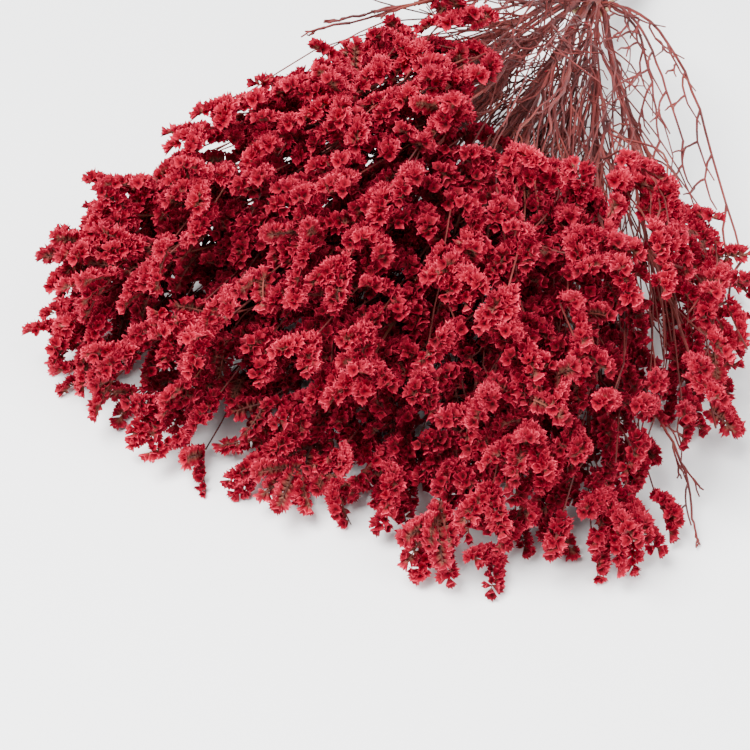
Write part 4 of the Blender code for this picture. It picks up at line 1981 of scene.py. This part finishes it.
@dataclass(frozen=True)
class Finish:
    """A matte procedural finish that every material of the bunch starts from."""

    name: str
    roughness: float
    scale: float
    streak: float
    bump: float

    def start(self) -> tuple[bpy.types.Material, NodeDesk, bpy.types.Node, bpy.types.Node]:
        """Makes the material with its shared texture and bump.

        Returns:
            The material, its desk, its shader and its texture node.
        """
        material = bpy.data.materials.new(self.name)
        material.use_nodes = True
        desk = NodeDesk(material.node_tree)
        shader = material.node_tree.nodes["Principled BSDF"]
        shader.inputs["Roughness"].default_value = self.roughness
        shader.inputs["Metallic"].default_value = 0.0
        place = desk.add("ShaderNodeTexCoord")
        texture = desk.add("ShaderNodeGroup")
        texture.node_tree = DryTexture.group()
        texture.inputs["Scale"].default_value = self.scale
        texture.inputs["Streak"].default_value = self.streak
        desk.join(place.outputs["Object"], texture.inputs["Place"])
        bump = desk.add("ShaderNodeBump")
        bump.inputs["Distance"].default_value = self.bump
        desk.join(texture.outputs["Height"], bump.inputs["Height"])
        desk.join(bump.outputs["Normal"], shader.inputs["Normal"])
        return material, desk, shader, texture


@dataclass(frozen=True)
class PetalFinish(Finish):
    """Papery dyed petals with a brown foot, a ragged rim made paler by a painted highlight on its lit edge,
    and a throat darkened by painted shade; deep or pale by tint, which carries their own tone and the
    painted shade of florets deep in the bunch.
    """

    name: str = "petal_paper"
    roughness: float = 0.72
    scale: float = 900.0
    streak: float = 2600.0
    bump: float = 0.0002
    mottle: float = 2.4
    pale_share: float = 0.18
    tone_and_shade_share: float = 0.85
    sheen: float = 0.12
    # The dark end of the mix: darker florets, and florets darkened with painted shade deep in the bunch.
    deep: Stops = (
        (0.0, (0.050, 0.020, 0.012)),
        (0.14, (0.065, 0.012, 0.010)),
        (0.30, (0.090, 0.001, 0.006)),
        (0.46, (0.135, 0.000, 0.009)),
        # The rim: a painted highlight on the lit edges of the paper.
        (0.50, (0.300, 0.006, 0.030)),
        (0.56, (0.130, 0.000, 0.008)),
        # Darker into the throat: painted shade in the hollow of the funnel.
        (0.75, (0.072, 0.000, 0.003)),
        (1.0, (0.016, 0.000, 0.001)),
    )
    pale: Stops = (
        (0.0, (0.170, 0.095, 0.055)),
        (0.14, (0.210, 0.065, 0.048)),
        (0.30, (0.290, 0.004, 0.018)),
        (0.46, (0.350, 0.004, 0.026)),
        # The rim: a painted highlight on the lit edges of the paper.
        (0.50, (0.860, 0.062, 0.110)),
        (0.56, (0.360, 0.002, 0.025)),
        # Darker into the throat: painted shade in the hollow of the funnel.
        (0.75, (0.255, 0.000, 0.013)),
        (1.0, (0.060, 0.000, 0.004)),
    )

    def material(self) -> bpy.types.Material:
        """Makes the material.

        Returns:
            The finished material.
        """
        made, desk, shader, texture = self.start()
        along = desk.add("ShaderNodeAttribute", attribute_name="along")
        tone_and_shade = desk.add("ShaderNodeAttribute", attribute_name="tone_and_shade")
        dark = desk.ramp(along.outputs["Fac"], self.deep)
        light = desk.ramp(along.outputs["Fac"], self.pale)
        spread = desk.add("ShaderNodeMath", operation="MULTIPLY_ADD")
        desk.join(texture.outputs["Mottle"], spread.inputs[0])
        spread.inputs[1].default_value = self.mottle
        spread.inputs[2].default_value = self.pale_share - self.mottle / 2
        # The mix follows tint: the florets' own tone, lowered by painted shade deep in the bunch.
        share = desk.add("ShaderNodeMath", operation="MULTIPLY_ADD", use_clamp=True)
        desk.join(tone_and_shade.outputs["Fac"], share.inputs[0])
        share.inputs[1].default_value = self.tone_and_shade_share
        desk.join(spread.outputs[0], share.inputs[2])
        desk.join(desk.mix(share.outputs[0], dark, light), shader.inputs["Base Color"])
        shader.inputs["Specular IOR Level"].default_value = self.sheen
        return made


@dataclass(frozen=True)
class MottledFinish(Finish):
    """A finish whose colour follows the mottled tone alone."""

    tones: Stops

    def material(self) -> bpy.types.Material:
        """Makes the material.

        Returns:
            The finished material.
        """
        made, desk, shader, texture = self.start()
        desk.join(desk.ramp(texture.outputs["Mottle"], self.tones), shader.inputs["Base Color"])
        return made


@dataclass(frozen=True)
class BarkFinish(MottledFinish):
    """Dry thin stems: red-brown, darker in places."""

    name: str = "dry_stem"
    roughness: float = 0.68
    scale: float = 55.0
    streak: float = 1400.0
    bump: float = 0.00015
    tones: Stops = (
        (0.30, (0.048, 0.006, 0.006)),
        (0.46, (0.108, 0.011, 0.010)),
        (0.60, (0.168, 0.021, 0.018)),
        (0.75, (0.150, 0.034, 0.014)),
    )


@dataclass(frozen=True)
class TwineFinish(MottledFinish):
    """Plain jute twine: pale brown with darker fibres."""

    name: str = "jute_twine"
    roughness: float = 0.85
    scale: float = 500.0
    streak: float = 3200.0
    bump: float = 0.0003
    tones: Stops = (
        (0.30, (0.200, 0.125, 0.060)),
        (0.55, (0.430, 0.300, 0.160)),
        (0.75, (0.560, 0.430, 0.260)),
    )


@dataclass(frozen=True)
class Lamp:
    """A square soft light that faces the bunch."""

    name: str
    place: tuple[float, float, float]
    size: float
    energy: float


@dataclass(frozen=True)
class Studio:
    """The pale floor, the soft lights and the camera at the photograph's angle."""

    azimuth: float = 20.0
    elevation: float = 42.8
    distance: float = 0.657
    lens: float = 85.0
    sensor: float = 36.0
    clip_start: float = 0.01
    aim_left: float = 0.0965
    aim_near: float = 0.2187
    floor_size: float = 6.0
    floor_colour: tuple[float, float, float, float] = (0.97, 0.972, 0.975, 1.0)
    floor_roughness: float = 0.6
    sky_colour: tuple[float, float, float, float] = (0.95, 0.97, 1.0, 1.0)
    sky_strength: float = 0.80
    lamps: tuple[Lamp, ...] = (
        Lamp("key_light", place=(-0.5, -0.7, 1.5), size=1.0, energy=108.0),
        Lamp("fill_light", place=(1.1, -0.6, 1.1), size=1.2, energy=30.0),
    )

    def floor(self) -> None:
        """Adds the floor with a plain pale finish."""
        Hand.clear_selection()
        bpy.ops.mesh.primitive_plane_add(size=self.floor_size)
        floor = bpy.context.object
        floor.name = "floor"
        paint = bpy.data.materials.new("floor_paint")
        paint.use_nodes = True
        shader = paint.node_tree.nodes["Principled BSDF"]
        shader.inputs["Base Color"].default_value = self.floor_colour
        shader.inputs["Roughness"].default_value = self.floor_roughness
        floor.data.materials.append(paint)

    def lights(self) -> None:
        """Adds a large soft light above, a weak one in front and a pale sky."""
        for lamp in self.lamps:
            light = bpy.data.lights.new(lamp.name, "AREA")
            light.size = lamp.size
            light.energy = lamp.energy
            obj = linked(lamp.name, light)
            obj.location = lamp.place
            obj.rotation_euler = (-Vector(lamp.place)).to_track_quat("-Z", "Y").to_euler()
        world = bpy.data.worlds.new("pale_sky")
        world.use_nodes = True
        sky = world.node_tree.nodes["Background"]
        sky.inputs["Color"].default_value = self.sky_colour
        sky.inputs["Strength"].default_value = self.sky_strength
        bpy.context.scene.world = world

    def camera(self, tie: Vector) -> None:
        """Adds the camera.

        Args:
            tie: The middle of the tie, which the view is measured from.
        """
        a, e = math.radians(self.azimuth), math.radians(self.elevation)
        right = Vector((math.cos(a), math.sin(a), 0))
        ahead = Vector((-math.sin(a), math.cos(a), 0))
        aim = Vector((tie.x, tie.y, 0)) - right * self.aim_left - ahead * self.aim_near
        back = Vector((0, 0, math.sin(e))) - ahead * math.cos(e)
        data = bpy.data.cameras.new("view")
        data.lens = self.lens
        data.sensor_width = self.sensor
        data.clip_start = self.clip_start
        camera = linked("view", data)
        camera.location = aim + back * self.distance
        camera.rotation_euler = (-back).to_track_quat("-Z", "Y").to_euler()
        bpy.context.scene.camera = camera


def triangle_count() -> int:
    """Counts the triangles of the new pieces.

    Returns:
        Their number in all.
    """
    pieces = [obj for obj in bpy.context.scene.objects if obj.type == "MESH" and obj.visible_get()]
    return sum(len(face.vertices) - 2 for obj in pieces for face in obj.data.polygons)


def main() -> None:
    """Builds every piece in order."""
    logging.basicConfig(level=logging.INFO, format="%(message)s")
    plan = BunchPlan()
    sprays = plan.sprays()
    log.info("plan: %d sprays, %d spikes", len(sprays), sum(len(s.spikes) for s in sprays))
    stamps = Stamps.modelled()
    counts = [len(kind[0].triangles) for kind in (stamps.ruffled, stamps.plain)]
    log.info("floret: %d and %d triangles", *counts)
    petals, bark = PetalFinish().material(), BarkFinish().material()
    stem = MainStem()
    drop = stem.drop(plan, sprays)
    staggers = random.Random(plan.seed + 1)
    fillers = plan.fillers.fill(sprays, random.Random(plan.seed + 2))
    for number, (spray, small) in enumerate(zip(sprays, fillers)):
        stagger = staggers.uniform(-stem.end_stagger, stem.end_stagger)
        behind_tie = stem.behind_tie(spray, drop, stagger)
        builder = SprayBuilder(plan, spray, behind_tie, small, random.Random(number), stem)
        florets = builder.build(stamps, petals, bark)
        log.info("%s: %d florets, %d fillers", spray.name, florets, len(small))
    tie = TwineTie().build(plan, sprays, TwineFinish().material())
    log.info("%s: %d faces", tie.name, len(tie.data.polygons))
    log.info("in all: %d triangles", triangle_count())
    studio = Studio()
    studio.floor()
    studio.lights()
    studio.camera(plan.tie)


if __name__ == "__main__":
    main()
